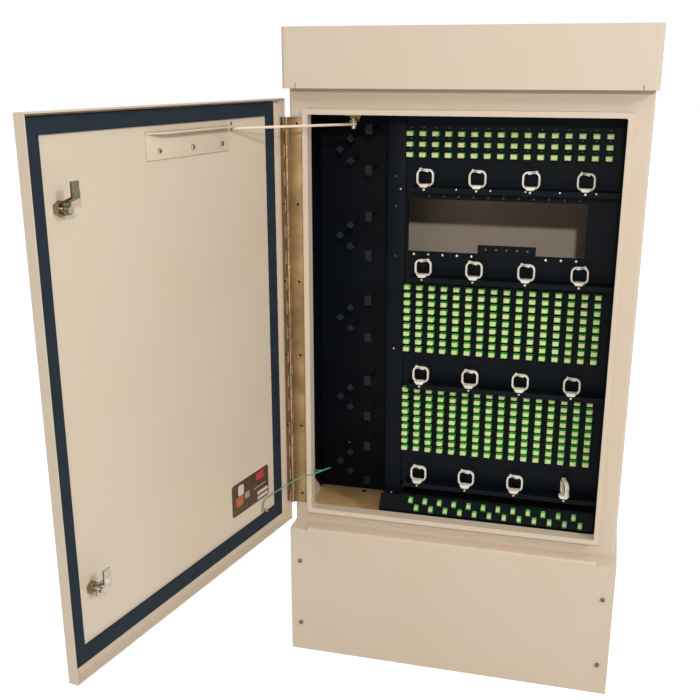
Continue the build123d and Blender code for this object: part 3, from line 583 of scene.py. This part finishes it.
for block, rows in (("top", 3), ("middle", 9), ("lower", 9)):
    adapters = f"{block}_adapters"
    caps = f"{block}_dust_caps"
    low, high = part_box(adapters)
    shape = bmesh.new()
    for centre in grid_centres(adapters, COLUMNS, rows, *ADAPTER):
        add_adapter(shape, facing(centre, FORWARD), *ADAPTER, high.y - low.y)
    make_piece(f"{block}_connectors", shape, green_body, "cabinet", [adapters])
    low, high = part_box(caps)
    shape = bmesh.new()
    brim = (CAP[0] + CAP_BRIM[0], CAP[1] + CAP_BRIM[1])
    for centre in grid_centres(caps, COLUMNS, rows, *CAP):
        add_cap(shape, facing(centre, FORWARD), *brim, high.y - low.y)
    make_piece(f"{block}_caps", shape, cream_cap, "cabinet", [caps])

# %% [markdown]
# ## Parked connectors
# Two staggered rows wait on the sloping strip at the floor. Each shows a green body and, over its lower half,
# a milky cap.

# %% Parked connectors
STRIP_FOLD = (62.0, 61.0)
STRIP_TILT = math.radians(35.0)
PARKING_FIRST = 238.7
PARKING_PITCH = 30.6
PARKING_STAGGER = 13.8
PARKING_DROPS = (14.9, 30.4)
PARKING_COLUMNS = 12
PARKED = (9.3 * MM, 14.6 * MM, 9.0 * MM)
PARKED_CAP = (8.4 * MM, 9.2 * MM, 4.6 * MM)
PARKED_CAP_DROP = 2.2 * MM
STRIP_GAP = 0.3 * MM
strip_down = Vector((0, -math.sin(STRIP_TILT), -math.cos(STRIP_TILT)))
strip_normal = Vector((0, -math.cos(STRIP_TILT), math.sin(STRIP_TILT)))
bodies_shape = bmesh.new()
caps_shape = bmesh.new()
for row, drop in enumerate(PARKING_DROPS):
    for column in range(PARKING_COLUMNS):
        across = PARKING_FIRST + column * PARKING_PITCH + row * PARKING_STAGGER
        seat_point = place(across, *STRIP_FOLD) + strip_down * drop * MM
        body_seat = facing(seat_point + strip_normal * (STRIP_GAP + PARKED[2]), strip_normal)
        add_adapter(bodies_shape, body_seat, *PARKED)
        cap_seat = body_seat @ Matrix.Translation((0, -PARKED_CAP_DROP, PARKED_CAP[2]))
        add_cap(caps_shape, cap_seat, *PARKED_CAP)
make_piece("parked_connectors", bodies_shape, green_body, "cabinet", ["parking_adapters"])
make_piece("parked_caps", caps_shape, cream_cap, "cabinet", ["parking_dust_caps"])

# %% [markdown]
# ## Cable rings
# A ring is one nylon strip bent to a rounded square, its ends passing each other at the top so that a cable
# can be slipped in. One end stands up as a spike and the other lies inside. The ring stands on a tapered
# foot, which a tab and a small screw hold to the ledge's lip.

# %% Cable rings
RING_ROWS = {"top": 725.6, "upper": 552.0, "middle": 333.2, "lower": 117.0}
RINGS_IN_ROW = 4
MIRRORED_RINGS = {("top", 2), ("upper", 0), ("upper", 3)}
RING_FIRST = 254.6
RING_PITCH = 99.6
RING_SIZE = 33.5
RING_STROKE = 3.7
RING_DEPTH = 8.0
RING_CENTRE_Y = 45.0
RING_CORNER = 11.0
LAST_RING_TURN = 70.0
SPIKE = ((-0.74, 2.0), (-0.5, 0.9), (-0.25, 0.0))
INNER_END = ((0.05, -1.6), (0.4, -2.8))
STRIP_SECTION = ((-1, -0.6), (-0.6, -1), (0.6, -1), (1, -0.6), (1, 0.6), (0.6, 1), (-0.6, 1), (-1, 0.6))
LIP_FRONT = 30.0
FOOT_OUTLINE = [(-10.5, 6.0), (-6.0, 0.1), (6.0, 0.1), (10.5, 6.0)]
FOOT_DEPTH = 17.0
FOOT_GAP = 2.2
RING_SCREW = (2.3 * MM, 1.4 * MM)
RING_SCREW_DROP = 4.0


def ring_path(size, corner, side, steps=6):
    """Points of the strip's middle line, in mm, from its spike over the rounded square to its inner end."""
    half = size / 2 - RING_STROKE / 2
    bend = corner - RING_STROKE / 2
    points = [(half * share, half + rise) for share, rise in SPIKE]
    for side_x, side_z, start in ((1, 1, 90), (1, -1, 0), (-1, -1, -90), (-1, 1, -180)):
        centre_x, centre_z = side_x * (half - bend), side_z * (half - bend)
        for step in range(steps + 1):
            angle = math.radians(start - 90 * step / steps)
            points.append((centre_x + bend * math.cos(angle), centre_z + bend * math.sin(angle)))
    points += [(half * share, half + rise) for share, rise in INNER_END]
    return [Vector((side * x, z, 0)) for x, z in points]


def add_strip(shape, path, width, depth, matrix):
    """Sweeps a strip with rounded corners along a path in one plane."""
    rings = []
    for index, point in enumerate(path):
        before = path[max(index - 1, 0)]
        after = path[min(index + 1, len(path) - 1)]
        along = (after - before).normalized()
        side = Vector((-along.y, along.x, 0))
        rings.append(
            [
                shape.verts.new(
                    matrix @ ((point + side * out * width / 2 + Vector((0, 0, over * depth / 2))) * MM)
                )
                for out, over in STRIP_SECTION
            ]
        )
    for first, second in zip(rings, rings[1:]):
        for corner in range(len(STRIP_SECTION)):
            following = (corner + 1) % len(STRIP_SECTION)
            shape.faces.new((first[corner], first[following], second[following], second[corner]))
    shape.faces.new(rings[0])
    shape.faces.new(list(reversed(rings[-1])))


ring_screws = bmesh.new()
for row, height in RING_ROWS.items():
    shape = bmesh.new()
    for index in range(RINGS_IN_ROW):
        turned = row == "lower" and index == RINGS_IN_ROW - 1
        side = -1 if (row, index) in MIRRORED_RINGS else 1
        across = RING_FIRST + index * RING_PITCH
        matrix = Matrix.Translation(place(across, RING_CENTRE_Y, height))
        matrix = matrix @ Matrix.Rotation(math.radians(-LAST_RING_TURN if turned else 0), 4, "Z")
        matrix = matrix @ Matrix.Rotation(math.radians(90), 4, "X")
        add_strip(shape, ring_path(RING_SIZE, RING_CORNER, side), RING_STROKE, RING_DEPTH, matrix)
        seat = height - RING_SIZE / 2
        foot_turn = Matrix.Translation(place(across, LIP_FRONT - FOOT_GAP, seat))
        foot_turn = foot_turn @ Matrix.Rotation(math.radians(90), 4, "X")
        foot_turn = foot_turn @ Matrix.Translation((0, 0, -FOOT_DEPTH * MM))
        add_slab(shape, FOOT_OUTLINE, FOOT_DEPTH, foot_turn, 0.6)
        screw_seat = facing(place(across, LIP_FRONT, seat - RING_SCREW_DROP), FORWARD)
        add_round(ring_screws, *RING_SCREW, screw_seat, 16, 0.6 * MM)
    make_piece(f"{row}_rings", shape, nylon, "cabinet", [f"{row}_cable_rings"])
make_piece("ring_screws", ring_screws, zinc, "cabinet")

# %% [markdown]
# ## Screws
# A pan-head screw is a flattened dome. Here the head is a short bar with a wide bevel: at this size the
# rounded rim and the catch of light are what the eye reads. The hinge's screws are dark and nearly flush.

# %% Screw heads and other round fixings


def heads(name, points, normal, diameter, height, finish, body="cabinet", nodes=(), door_side=False):
    """A group of rounded heads, given in mm, that stand on their points along a normal."""
    shape = bmesh.new()
    for point in points:
        seat = facing(place(*point), normal)
        add_round(shape, diameter / 2 * MM, height * MM, seat, 20, height * 0.42 * MM)
    make_piece(name, shape, finish, body, nodes, door_side)


HINGE_SCREWS = [64.6 + 152.0 * index for index in range(6)]
heads(
    "frame_leaf_screws",
    [(15.0, -1.5, z) for z in HINGE_SCREWS],
    FORWARD,
    diameter=5.0,
    height=0.8,
    finish=dark_oxide,
    nodes=["hinge_frame_screws"],
)
heads(
    "door_leaf_screws",
    [(-4.5, -12.5, z) for z in HINGE_SCREWS],
    (1, 0, 0),
    diameter=4.0,
    height=0.8,
    finish=dark_oxide,
    body="door",
    nodes=["hinge_door_screws"],
    door_side=True,
)
heads(
    "rail_screws",
    [(x, -22.2, 800.0) for x in (186.3, 272.3, 362.7)],
    INWARD,
    diameter=9.0,
    height=3.0,
    finish=zinc,
    body="door",
    nodes=["stay_rail_screws"],
    door_side=True,
)
heads(
    "cover_screws",
    [(x, -27.0, z) for x in (16.0, 644.0) for z in (-82.0, -231.0)],
    FORWARD,
    diameter=9.0,
    height=3.4,
    finish=brown_plate,
    nodes=["plinth_cover_screws"],
)

# %% [markdown]
# ## Small fixings on the black parts
# A row of punched holes runs over the window, and bright standoffs stand under it. Small screws hold the top
# ledge, the divider and the parking strip. They are tiny, but on black they are what catches the eye.

# %% Small fixings
PANEL_FRONT = 64.0
DIVIDER_FRONT = 60.0
WINDOW_PITCH = 28.4
# the punched holes are flat discs in the painted shade grey of their insides
heads(
    "window_holes",
    [(260.0 + WINDOW_PITCH * index, PANEL_FRONT, 689.2) for index in range(11)],
    FORWARD,
    diameter=4.4,
    height=0.3,
    finish=hole_shade_and_mark_grey,
)
heads(
    "panel_standoffs",
    [(232.2 + WINDOW_PITCH * index, PANEL_FRONT, 575.3) for index in (0, 1, 2, 3, 4, 9, 10, 11)],
    FORWARD,
    diameter=5.6,
    height=4.0,
    finish=zinc,
)
heads(
    "ledge_screws",
    [(x, LIP_FRONT, 706.4) for x in (316.8, 380.8, 445.6, 508.0, 572.6)],
    FORWARD,
    diameter=3.6,
    height=1.2,
    finish=zinc,
)
heads(
    "divider_screws",
    [(x, DIVIDER_FRONT, z) for x, z in ((204.1, 701.2), (195.0, 380.0))],
    FORWARD,
    diameter=3.6,
    height=1.2,
    finish=zinc,
)
# these holes too are flat discs in the painted shade grey of their insides
heads(
    "divider_holes",
    [(x, DIVIDER_FRONT, z) for x, z in ((194.2, 725.6), (195.1, 667.6), (195.5, 569.7))],
    FORWARD,
    diameter=3.6,
    height=0.3,
    finish=hole_shade_and_mark_grey,
)
heads(
    "strip_screws",
    [(x, DIVIDER_FRONT, z) for x, z in ((181.0, 54.0), (189.0, 29.0), (194.0, 60.0), (204.0, 32.0))],
    FORWARD,
    diameter=4.4,
    height=1.4,
    finish=zinc,
)
heads(
    "floor_grommet",
    [(107.1, 171.9, 3.0)],
    (0, 0, 1),
    diameter=9.0,
    height=3.0,
    finish=dark_oxide,
)
heads(
    "storage_rivet",
    [(67.9, 188.0, 113.8)],
    FORWARD,
    diameter=3.4,
    height=1.0,
    finish=zinc,
)

# %% [markdown]
# ## Port marks
# A short pale dash over every column stands for the printed port number.

# %% Port marks
MARK = Vector((5.0, 0.2, 1.8)) * MM
shape = bmesh.new()
for node, rows, marked, rise in (("top_adapters", 3, 3, 10.0), ("middle_adapters", 9, 1, 8.5)):
    seats = grid_centres(node, COLUMNS, rows, *ADAPTER)
    for centre in seats[-marked * COLUMNS :]:
        middle = Vector((centre.x, front + (PANEL_FRONT - 0.1) * MM, centre.z + rise * MM))
        add_prism(shape, MARK, Matrix.Translation(middle), 0.05 * MM, 1)
make_piece("port_marks", shape, hole_shade_and_mark_grey, "cabinet")

# %% [markdown]
# ## Hinge
# The continuous hinge has a pin the height of the door, and knuckles of about 25 mm that belong in turn to
# the leaf on the frame and to the leaf on the door. Each leaf is notched where the other's knuckles run.

# %% Continuous hinge
pin_low, pin_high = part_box("hinge_pin")
HINGE_FOOT = (pin_low.z - sill) / MM
HINGE_TOP = (pin_high.z - sill) / MM
HINGE_AXIS = (-5.5, -4.0)
KNUCKLE_RADIUS = 3.8
KNUCKLES = 31
KNUCKLE_GAP = 0.6
# each as left, right, front and back, in mm
FRAME_SHEET = (-2.3, 23.2, -1.5, 0.0)
FRAME_TAB = (-5.5, -2.0, -1.7, -0.2)
DOOR_SHEET = (-6.0, -4.5, -17.0, -10.2)
DOOR_TAB = (-6.0, -4.5, -10.4, -4.0)
knuckle = (HINGE_TOP - HINGE_FOOT) / KNUCKLES


def add_leaf(shape, first, sheet, tab):
    """One leaf: a sheet, and at every second knuckle a tab from the sheet to a rounded barrel."""
    (x0, x1, y0, y1), (tab_x0, tab_x1, tab_y0, tab_y1) = sheet, tab
    add_block(shape, place(x0, y0, HINGE_FOOT), place(x1, y1, HINGE_TOP), 0.3)
    for index in range(first, KNUCKLES, 2):
        foot = HINGE_FOOT + index * knuckle + KNUCKLE_GAP / 2
        head = foot + knuckle - KNUCKLE_GAP
        add_block(shape, place(tab_x0, tab_y0, foot), place(tab_x1, tab_y1, head), 0.2)
        barrel = Matrix.Translation(place(*HINGE_AXIS, foot))
        add_round(shape, KNUCKLE_RADIUS * MM, (head - foot) * MM, barrel, 20, 0.5 * MM)


shape = bmesh.new()
add_leaf(shape, 0, FRAME_SHEET, FRAME_TAB)
make_piece("frame_leaf", shape, bronze, "cabinet", ["hinge_frame_leaf"])
shape = bmesh.new()
add_leaf(shape, 1, DOOR_SHEET, DOOR_TAB)
make_piece("door_leaf", shape, bronze, "door", ["hinge_door_leaf"], True)

# %% [markdown]
# ## Gasket
# The gasket is cut from foam sheet and stuck round the inside of the door. Its face is softly domed, and its
# four sides are not equally wide.

# %% Gasket
GASKET_OUTER = (11.0, 647.0, 20.0, 865.0)
GASKET_INNER = (36.5, 624.0, 49.0, 840.0)
# each point is a share of the width, and a place in mm from the front face
GASKET_PROFILE = (
    (0.0, -25.2),
    (0.0, -21.6),
    (0.05, -20.6),
    (0.2, -20.3),
    (0.8, -20.3),
    (0.95, -20.6),
    (1.0, -21.6),
    (1.0, -25.2),
)
loops = []
shape = bmesh.new()
for share, inward in GASKET_PROFILE:
    x0, x1, z0, z1 = (a + (b - a) * share for a, b in zip(GASKET_OUTER, GASKET_INNER))
    corners = ((x0, z0), (x1, z0), (x1, z1), (x0, z1))
    loops.append([shape.verts.new(place(x, inward, z)) for x, z in corners])
for first, second in zip(loops, loops[1:] + loops[:1]):
    for corner in range(4):
        following = (corner + 1) % 4
        shape.faces.new((first[corner], first[following], second[following], second[corner]))
gasket = make_piece("door_seal", shape, foam, "door", ["door_gasket"], True)

# %% [markdown]
# ## Stay rail
# The rail is an angle screwed inside the door. Its top leg stands out as a shelf that the rod slides along,
# and it is cut to a slant at its far end. Two square slots beside it are open.

# %% Stay rail
DOOR_FLOOR = -25.2
RAIL_X = (164.0, 393.0)
RAIL_Z = (786.0, 829.5)
RAIL_SHEET = 3.0
RAIL_REACH = -4.0
RAIL_SLANT = 32.0
RAIL_TIP = 4.0
RAIL_INSET = 2.0
SLOT_DEPTH = 0.3
DOOR_SLOTS = ((149.8, 831.8, 5.0), (149.3, 821.6, 3.6))
upright = Matrix.Translation(place(0, DOOR_FLOOR + RAIL_SHEET, 0)) @ Matrix.Rotation(math.radians(90), 4, "X")
shape = bmesh.new()
x0, x1 = RAIL_X
z0, z1 = RAIL_Z
add_slab(shape, [(x0, z0), (x1, z0), (x1, z1), (x0, z1)], RAIL_SHEET, upright, 0.6)
shelf = Matrix.Translation(place(0, 0, z1 - RAIL_SHEET))
shelf_outline = [
    (x0, DOOR_FLOOR + 0.1),
    (x1, DOOR_FLOOR + 0.1),
    (x1, DOOR_FLOOR + RAIL_TIP),
    (x1 - RAIL_SLANT, RAIL_REACH),
    (x0 + RAIL_INSET, RAIL_REACH),
]
add_slab(shape, shelf_outline, RAIL_SHEET, shelf, 0.6)
make_piece("stay_rail_angle", shape, tan_coat, "door", ["stay_rail"], True)
shape = bmesh.new()
for across, up, size in DOOR_SLOTS:
    low = place(across - size / 2, DOOR_FLOOR, up - size / 2)
    add_block(shape, low, place(across + size / 2, DOOR_FLOOR + SLOT_DEPTH, up + size / 2), 0.1)
make_piece("door_slots", shape, slot_shadow, "door", door_side=True)

# %% [markdown]
# ## Stay rod
# A plain round rod with a flat eye at the bracket. Its other end slides along under the rail's shelf. Its zinc
# glare and the tan it mirrors are painted into a matt pale cream.

# %% Stay rod
ROD_RADIUS = 2.4
ROD_HEIGHT = 824.0
ROD_SLIDE = (158.0, -17.3)
ROD_PIVOT = (121.0, 18.0)
ROD_SHORTER = 3.0
EYE_RADIUS = 6.0
EYE_HALF = 1.6
rod_slide = swing @ place(*ROD_SLIDE, ROD_HEIGHT)
rod_pivot = place(*ROD_PIVOT, ROD_HEIGHT)
shape = bmesh.new()
rod_run = rod_pivot - rod_slide
rod_length = rod_run.length - ROD_SHORTER * MM
add_round(shape, ROD_RADIUS * MM, rod_length, facing(rod_slide, rod_run), 16, 1.2 * MM)
eye_seat = Matrix.Translation(rod_pivot - Vector((0, 0, EYE_HALF * MM)))
add_round(shape, EYE_RADIUS * MM, 2 * EYE_HALF * MM, eye_seat, 24, 0.6 * MM)
make_piece("stay_rod_bar", shape, rod_painted_glare, "stay", ["stay_rod"])

# %% [markdown]
# ## Black lining and floor of the slack bay
# The storage plate turns forward along the left wall, as a black cheek whose lower edge slopes. Below it the
# floor shows, painted a warmer golden brown than the coat for the warm light bounced into its shade. The divider
# is a folded channel with short flanges.

# %% Slack bay
CHEEK_X = (4.0, 6.0)
BAY_BACK = 187.0
BAY_TOP = 961.0
CHEEK_OUTLINE = [(9.0, 155.0), (172.0, 4.0), (BAY_BACK, 4.0), (BAY_BACK, BAY_TOP), (9.0, BAY_TOP)]
FLOOR_FRONT = 8.0
FLOOR_TOP = 3.0
LINING_SHEET = 0.8
DIVIDER = (179.0, 214.0)
DIVIDER_FLANGE = 17.0
DIVIDER_SHEET = 2.0
side_on = Matrix(((0, 0, 1), (1, 0, 0), (0, 1, 0))).to_4x4()
shape = bmesh.new()
cheek_seat = Matrix.Translation(place(CHEEK_X[0], 0, 0)) @ side_on
add_slab(shape, CHEEK_OUTLINE, CHEEK_X[1] - CHEEK_X[0], cheek_seat, 0.5)
make_piece("storage_cheek", shape, black_coat, "cabinet")
shape = bmesh.new()
floor_corner = place(DIVIDER[0], BAY_BACK, FLOOR_TOP + LINING_SHEET)
add_block(shape, place(CHEEK_X[1], FLOOR_FRONT, FLOOR_TOP), floor_corner, 0.2)
# the floor's golden brown is painted bounce light in shade
make_piece("bay_floor", shape, bay_floor_bounce_gold, "cabinet")
shape = bmesh.new()
x0, x1 = DIVIDER
web_corner = place(x1, DIVIDER_FRONT + DIVIDER_SHEET, BAY_TOP)
add_block(shape, place(x0, DIVIDER_FRONT, FLOOR_TOP), web_corner, 0.8)
for low_x in (x0, x1 - DIVIDER_SHEET):
    low = place(low_x, DIVIDER_FRONT + 0.5, FLOOR_TOP)
    high = place(low_x + DIVIDER_SHEET, DIVIDER_FRONT + DIVIDER_FLANGE, BAY_TOP)
    add_block(shape, low, high, 0.5)
make_piece("divider", shape, black_coat, "cabinet", ["divider_channel"])

# %% [markdown]
# ## Plinth cover
# The cover is one folded sheet. Its top edge is bent back over the plinth in a soft round, and slits free
# that fold from the two flat ears that carry the screws.

# %% Plinth cover
COVER_FACE = -27.0
COVER_SHEET = 3.0
COVER_TOP = -3.0
COVER_FOOT = -297.0
COVER_BEND = 5.0
COVER_X = (-5.0, 665.0)
COVER_EAR = 36.0
SLIT = 1.6
SLIT_DEPTH = 4.0
BEND_STEPS = 8
bend_centre = (COVER_FACE + COVER_BEND, COVER_TOP - COVER_BEND)


def bend_arc(radius, turns):
    """Points of the fold's quarter circle, from the face to the top, at shares of a quarter turn."""
    return [
        (
            bend_centre[0] - radius * math.cos(turn * math.pi / 2),
            bend_centre[1] + radius * math.sin(turn * math.pi / 2),
        )
        for turn in turns
    ]


slit_foot = COVER_TOP - COVER_SHEET - SLIT_DEPTH
quarter = [step / BEND_STEPS for step in range(BEND_STEPS + 1)]
fold = [(COVER_FACE, slit_foot)] + bend_arc(COVER_BEND, quarter) + [(0.0, COVER_TOP)]
fold += [(0.0, COVER_TOP - COVER_SHEET)] + bend_arc(COVER_BEND - COVER_SHEET, quarter[::-1])
fold += [(COVER_FACE + COVER_SHEET, slit_foot)]
ear_x = (COVER_X[0] + COVER_EAR, COVER_X[1] - COVER_EAR)
shape = bmesh.new()
fold_seat = Matrix.Translation(place(ear_x[0] + SLIT / 2, 0, 0)) @ side_on
add_slab(shape, fold, ear_x[1] - ear_x[0] - SLIT, fold_seat)
add_block(
    shape,
    place(COVER_X[0], COVER_FACE, COVER_FOOT),
    place(COVER_X[1], COVER_FACE + COVER_SHEET, slit_foot),
)
for low_x, high_x in ((COVER_X[0], ear_x[0] - SLIT / 2), (ear_x[1] + SLIT / 2, COVER_X[1])):
    add_block(
        shape,
        place(low_x, COVER_FACE, slit_foot),
        place(high_x, COVER_FACE + COVER_SHEET, COVER_TOP - COVER_SHEET),
    )
make_piece("folded_plinth_cover", shape, tan_coat, "cabinet", ["plinth_cover"], sharp_deg=30)

# %% [markdown]
# ## Ground wire
# The wire is a limp stranded copper lead in a green sheath. It is clamped under the door's stud, rises,
# crosses the rim and turns back to a lug on the rim's inner face. Its line is one smooth spline, and the tube
# follows points read from that spline.

# %% Ground wire
WIRE_ROUTE_MM = (
    (-372.58, -278.65, 360.3),
    (-372.58, -278.65, 372.0),
    (-364.0, -270.0, 381.5),
    (-351.5, -257.5, 389.0),
    (-334.0, -244.5, 398.5),
    (-316.0, -233.5, 409.5),
    (-300.0, -225.0, 417.5),
    (-286.0, -219.0, 418.5),
    (-275.0, -208.0, 420.0),
    (-266.0, -198.5, 422.5),
    (-257.0, -191.5, 424.5),
    (-254.0, -182.5, 422.5),
    (-261.5, -177.0, 418.5),
    (-271.0, -186.0, 415.5),
    (-284.8, -189.0, 415.0),
)
WIRE_DIAMETER = 2.4 * MM
wire_curve = bpy.data.curves.new("wire_route", "CURVE")
wire_curve.dimensions = "3D"
wire_spline = wire_curve.splines.new("NURBS")
wire_spline.points.add(len(WIRE_ROUTE_MM) - 1)
for knot, spot in zip(wire_spline.points, WIRE_ROUTE_MM):
    knot.co = (*(Vector(spot) * MM), 1.0)
wire_spline.order_u = 3
wire_spline.use_endpoint_u = True
wire_spline.resolution_u = 6
wire_guide = bpy.data.objects.new("wire_route", wire_curve)
bpy.context.scene.collection.objects.link(wire_guide)
bpy.context.view_layer.update()
line_mesh = bpy.data.meshes.new_from_object(wire_guide)
wire_line = [vertex.co.copy() for vertex in line_mesh.vertices]
bpy.data.objects.remove(wire_guide)


def add_tube(shape, line, radius, sides=12):
    """Sweeps a round section along a line, carrying its orientation so that it doesn't twist."""
    rings = []
    side = (line[1] - line[0]).orthogonal().normalized()
    for index, point in enumerate(line):
        before = line[max(index - 1, 0)]
        after = line[min(index + 1, len(line) - 1)]
        heading = (after - before).normalized()
        side = (side - heading * side.dot(heading)).normalized()
        over = heading.cross(side)
        turns = [2 * math.pi * step / sides for step in range(sides)]
        rings.append(
            [
                shape.verts.new(point + radius * (math.cos(turn) * side + math.sin(turn) * over))
                for turn in turns
            ]
        )
    for first, second in zip(rings, rings[1:]):
        for turn in range(sides):
            following = (turn + 1) % sides
            shape.faces.new((first[turn], first[following], second[following], second[turn]))
    shape.faces.new(list(reversed(rings[0])))
    shape.faces.new(rings[-1])


shape = bmesh.new()
add_tube(shape, wire_line, WIRE_DIAMETER / 2)
earth_wire = smooth_object("earth_wire", shape, sheath)
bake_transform(earth_wire)
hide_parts("ground_wire")

# %% [markdown]
# ## Label plate
# A printed plate is stuck to the inside of the door. Here it is a bare plate with plain fields of colour: a
# dark brown ground, a warm field at its outer end, a red block and pale bars. The fields are thin raised
# plates, as a screen print in thick ink would be.

# %% Label plate
PLATE = (58.0, 192.0, 83.0, 150.0)
CORNER_STEPS = 5
brown_ink = moulded("brown_plate_ink", "#453026", "#523B2E", 0.4, 6.0)
red_ink = moulded("red_plate_ink", "#B92C38", "#C83A44", 0.4, 6.0)
pale_ink = moulded("pale_plate_ink", "#D9CBBB", "#CDBDAB", 0.45, 5.0)
amber_ink = moulded("amber_plate_ink", "#B5683A", "#A65B30", 0.45, 5.0)
line_ink = moulded("grey_plate_ink", "#A39A8E", "#8E857A", 0.45, 5.0)


def plate_field(name, x0, x1, z0, z1, lift, ink, round_by):
    """A thin rounded field on the door's floor, between shares of the plate's width and height."""
    plate_x0, plate_x1, plate_z0, plate_z1 = PLATE
    width, height = plate_x1 - plate_x0, plate_z1 - plate_z0
    outline = []
    for side_x, side_z, start in ((1, 1, 0), (0, 1, 90), (0, 0, 180), (1, 0, 270)):
        corner_x = plate_x0 + (x1 if side_x else x0) * width + (-round_by if side_x else round_by)
        corner_z = plate_z0 + (z1 if side_z else z0) * height + (-round_by if side_z else round_by)
        for step in range(CORNER_STEPS + 1):
            angle = math.radians(start + 90 * step / CORNER_STEPS)
            outline.append((corner_x + round_by * math.cos(angle), corner_z + round_by * math.sin(angle)))
    shape = bmesh.new()
    stand = Matrix.Translation(place(0, DOOR_FLOOR + lift, 0)) @ Matrix.Rotation(math.radians(90), 4, "X")
    add_slab(shape, outline, lift, stand)
    make_piece(name, shape, ink, "door", door_side=True)


plate_field("label_plate", 0.0, 1.0, 0.0, 1.0, 0.5, brown_ink, 7.0)
plate_field("label_red_block", 0.13, 0.35, 0.70, 0.93, 0.7, red_ink, 1.0)
plate_field("label_line", 0.08, 0.42, 0.46, 0.50, 0.6, line_ink, 0.5)
plate_field("label_bar_upper", 0.03, 0.32, 0.22, 0.32, 0.7, pale_ink, 1.0)
plate_field("label_bar_lower", 0.03, 0.32, 0.06, 0.16, 0.7, pale_ink, 1.0)
plate_field("label_amber_field", 0.71, 0.90, 0.26, 0.56, 0.7, amber_ink, 4.0)
plate_field("label_pale_field", 0.69, 0.84, 0.57, 0.90, 0.7, pale_ink, 5.0)
plate_field("label_grey_field", 0.54, 0.67, 0.36, 0.56, 0.7, line_ink, 3.0)

# %% [markdown]
# ## Floor
# The floor is pale, and glows a little to the camera and in reflections alone, so that it is white where it
# is lit and still keeps the cabinet's shadow.

# %% Floor
FLOOR_HALF = 12.0
FLOOR_GLOW = 0.62


def seen_rays(tree):
    """A socket that is 1 for rays from the camera, and for mirrored and transmitted ones."""
    ray = add_node(tree, "ShaderNodeLightPath")
    direct = add_node(
        tree,
        "ShaderNodeMath",
        {"operation": "MAXIMUM"},
        links={0: ray.outputs["Is Camera Ray"], 1: ray.outputs["Is Glossy Ray"]},
    )
    every = add_node(
        tree,
        "ShaderNodeMath",
        {"operation": "MAXIMUM"},
        links={0: direct.outputs[0], 1: ray.outputs["Is Transmission Ray"]},
    )
    return every.outputs[0]


floor_mesh = bpy.data.meshes.new("floor")
floor_corners = [(x * FLOOR_HALF, y * FLOOR_HALF, 0) for x, y in ((-1, -1), (1, -1), (1, 1), (-1, 1))]
floor_mesh.from_pydata(floor_corners, [], [(0, 1, 2, 3)])
floor_finish, floor_tree, floor_shader = new_finish("pale_floor", "#E2E1DE", 0.9, Specular_IOR_Level=0.0)
glow = add_node(floor_tree, "ShaderNodeEmission", values={"Strength": FLOOR_GLOW})
lit = add_node(floor_tree, "ShaderNodeAddShader", links={0: floor_shader.outputs[0], 1: glow.outputs[0]})
floor_choice = add_node(
    floor_tree,
    "ShaderNodeMixShader",
    links={"Fac": seen_rays(floor_tree), 1: floor_shader.outputs[0], 2: lit.outputs[0]},
)
floor_tree.links.new(floor_choice.outputs[0], floor_tree.nodes["Material Output"].inputs["Surface"])
floor_mesh.materials.append(floor_finish)
floor = bpy.data.objects.new("floor", floor_mesh)
bpy.context.scene.collection.objects.link(floor)
print("floor is", 2 * FLOOR_HALF, "m wide")

# %% [markdown]
# ## Lamps and sky
# A small lamp beside the camera throws the sharp shadows inside, a larger one on the right and above gives
# the roof cap's short shadow, and a sky that is brightest overhead fills the rest. The background is white to
# the camera and in reflections.

# %% Lamps and sky
HORIZON_LIGHT = 0.2
ZENITH_LIGHT = 0.95


def soft_lamp(name, spot, target, size, watts):
    """A square area lamp that faces a target."""
    data = bpy.data.lights.new(name, "AREA")
    data.size = size
    data.energy = watts
    lamp = bpy.data.objects.new(name, data)
    bpy.context.scene.collection.objects.link(lamp)
    lamp.location = spot
    lamp.rotation_euler = (Vector(target) - Vector(spot)).to_track_quat("-Z", "Y").to_euler()


soft_lamp("lamp_by_camera", spot=(0.432, -2.39, 1.68), target=(0, 0, 0.75), size=0.06, watts=16)
soft_lamp("lamp_in_front", spot=(3.1, -2.3, 2.9), target=(0, -0.2, 0.9), size=0.5, watts=52)
world = bpy.data.worlds.new("daylight")
bpy.context.scene.world = world
world.use_nodes = True
world_tree = world.node_tree
direction = add_node(world_tree, "ShaderNodeTexCoord")
height = add_node(world_tree, "ShaderNodeSeparateXYZ", links={"Vector": direction.outputs["Generated"]})
sky_strength = add_node(
    world_tree,
    "ShaderNodeMapRange",
    values={"To Min": HORIZON_LIGHT, "To Max": ZENITH_LIGHT},
    links={"Value": height.outputs["Z"]},
)
sky = world_tree.nodes["Background"]
sky.inputs["Color"].default_value = linear("#FFFFFF")
world_tree.links.new(sky_strength.outputs["Result"], sky.inputs["Strength"])
backdrop = {"Color": linear("#FFFFFF"), "Strength": 1.0}
white = add_node(world_tree, "ShaderNodeBackground", values=backdrop)
world_choice = add_node(
    world_tree,
    "ShaderNodeMixShader",
    links={"Fac": seen_rays(world_tree), 1: sky.outputs[0], 2: white.outputs[0]},
)
world_tree.links.new(world_choice.outputs[0], world_tree.nodes["World Output"].inputs["Surface"])
bpy.context.scene.view_settings.view_transform = "Standard"
print("lit")
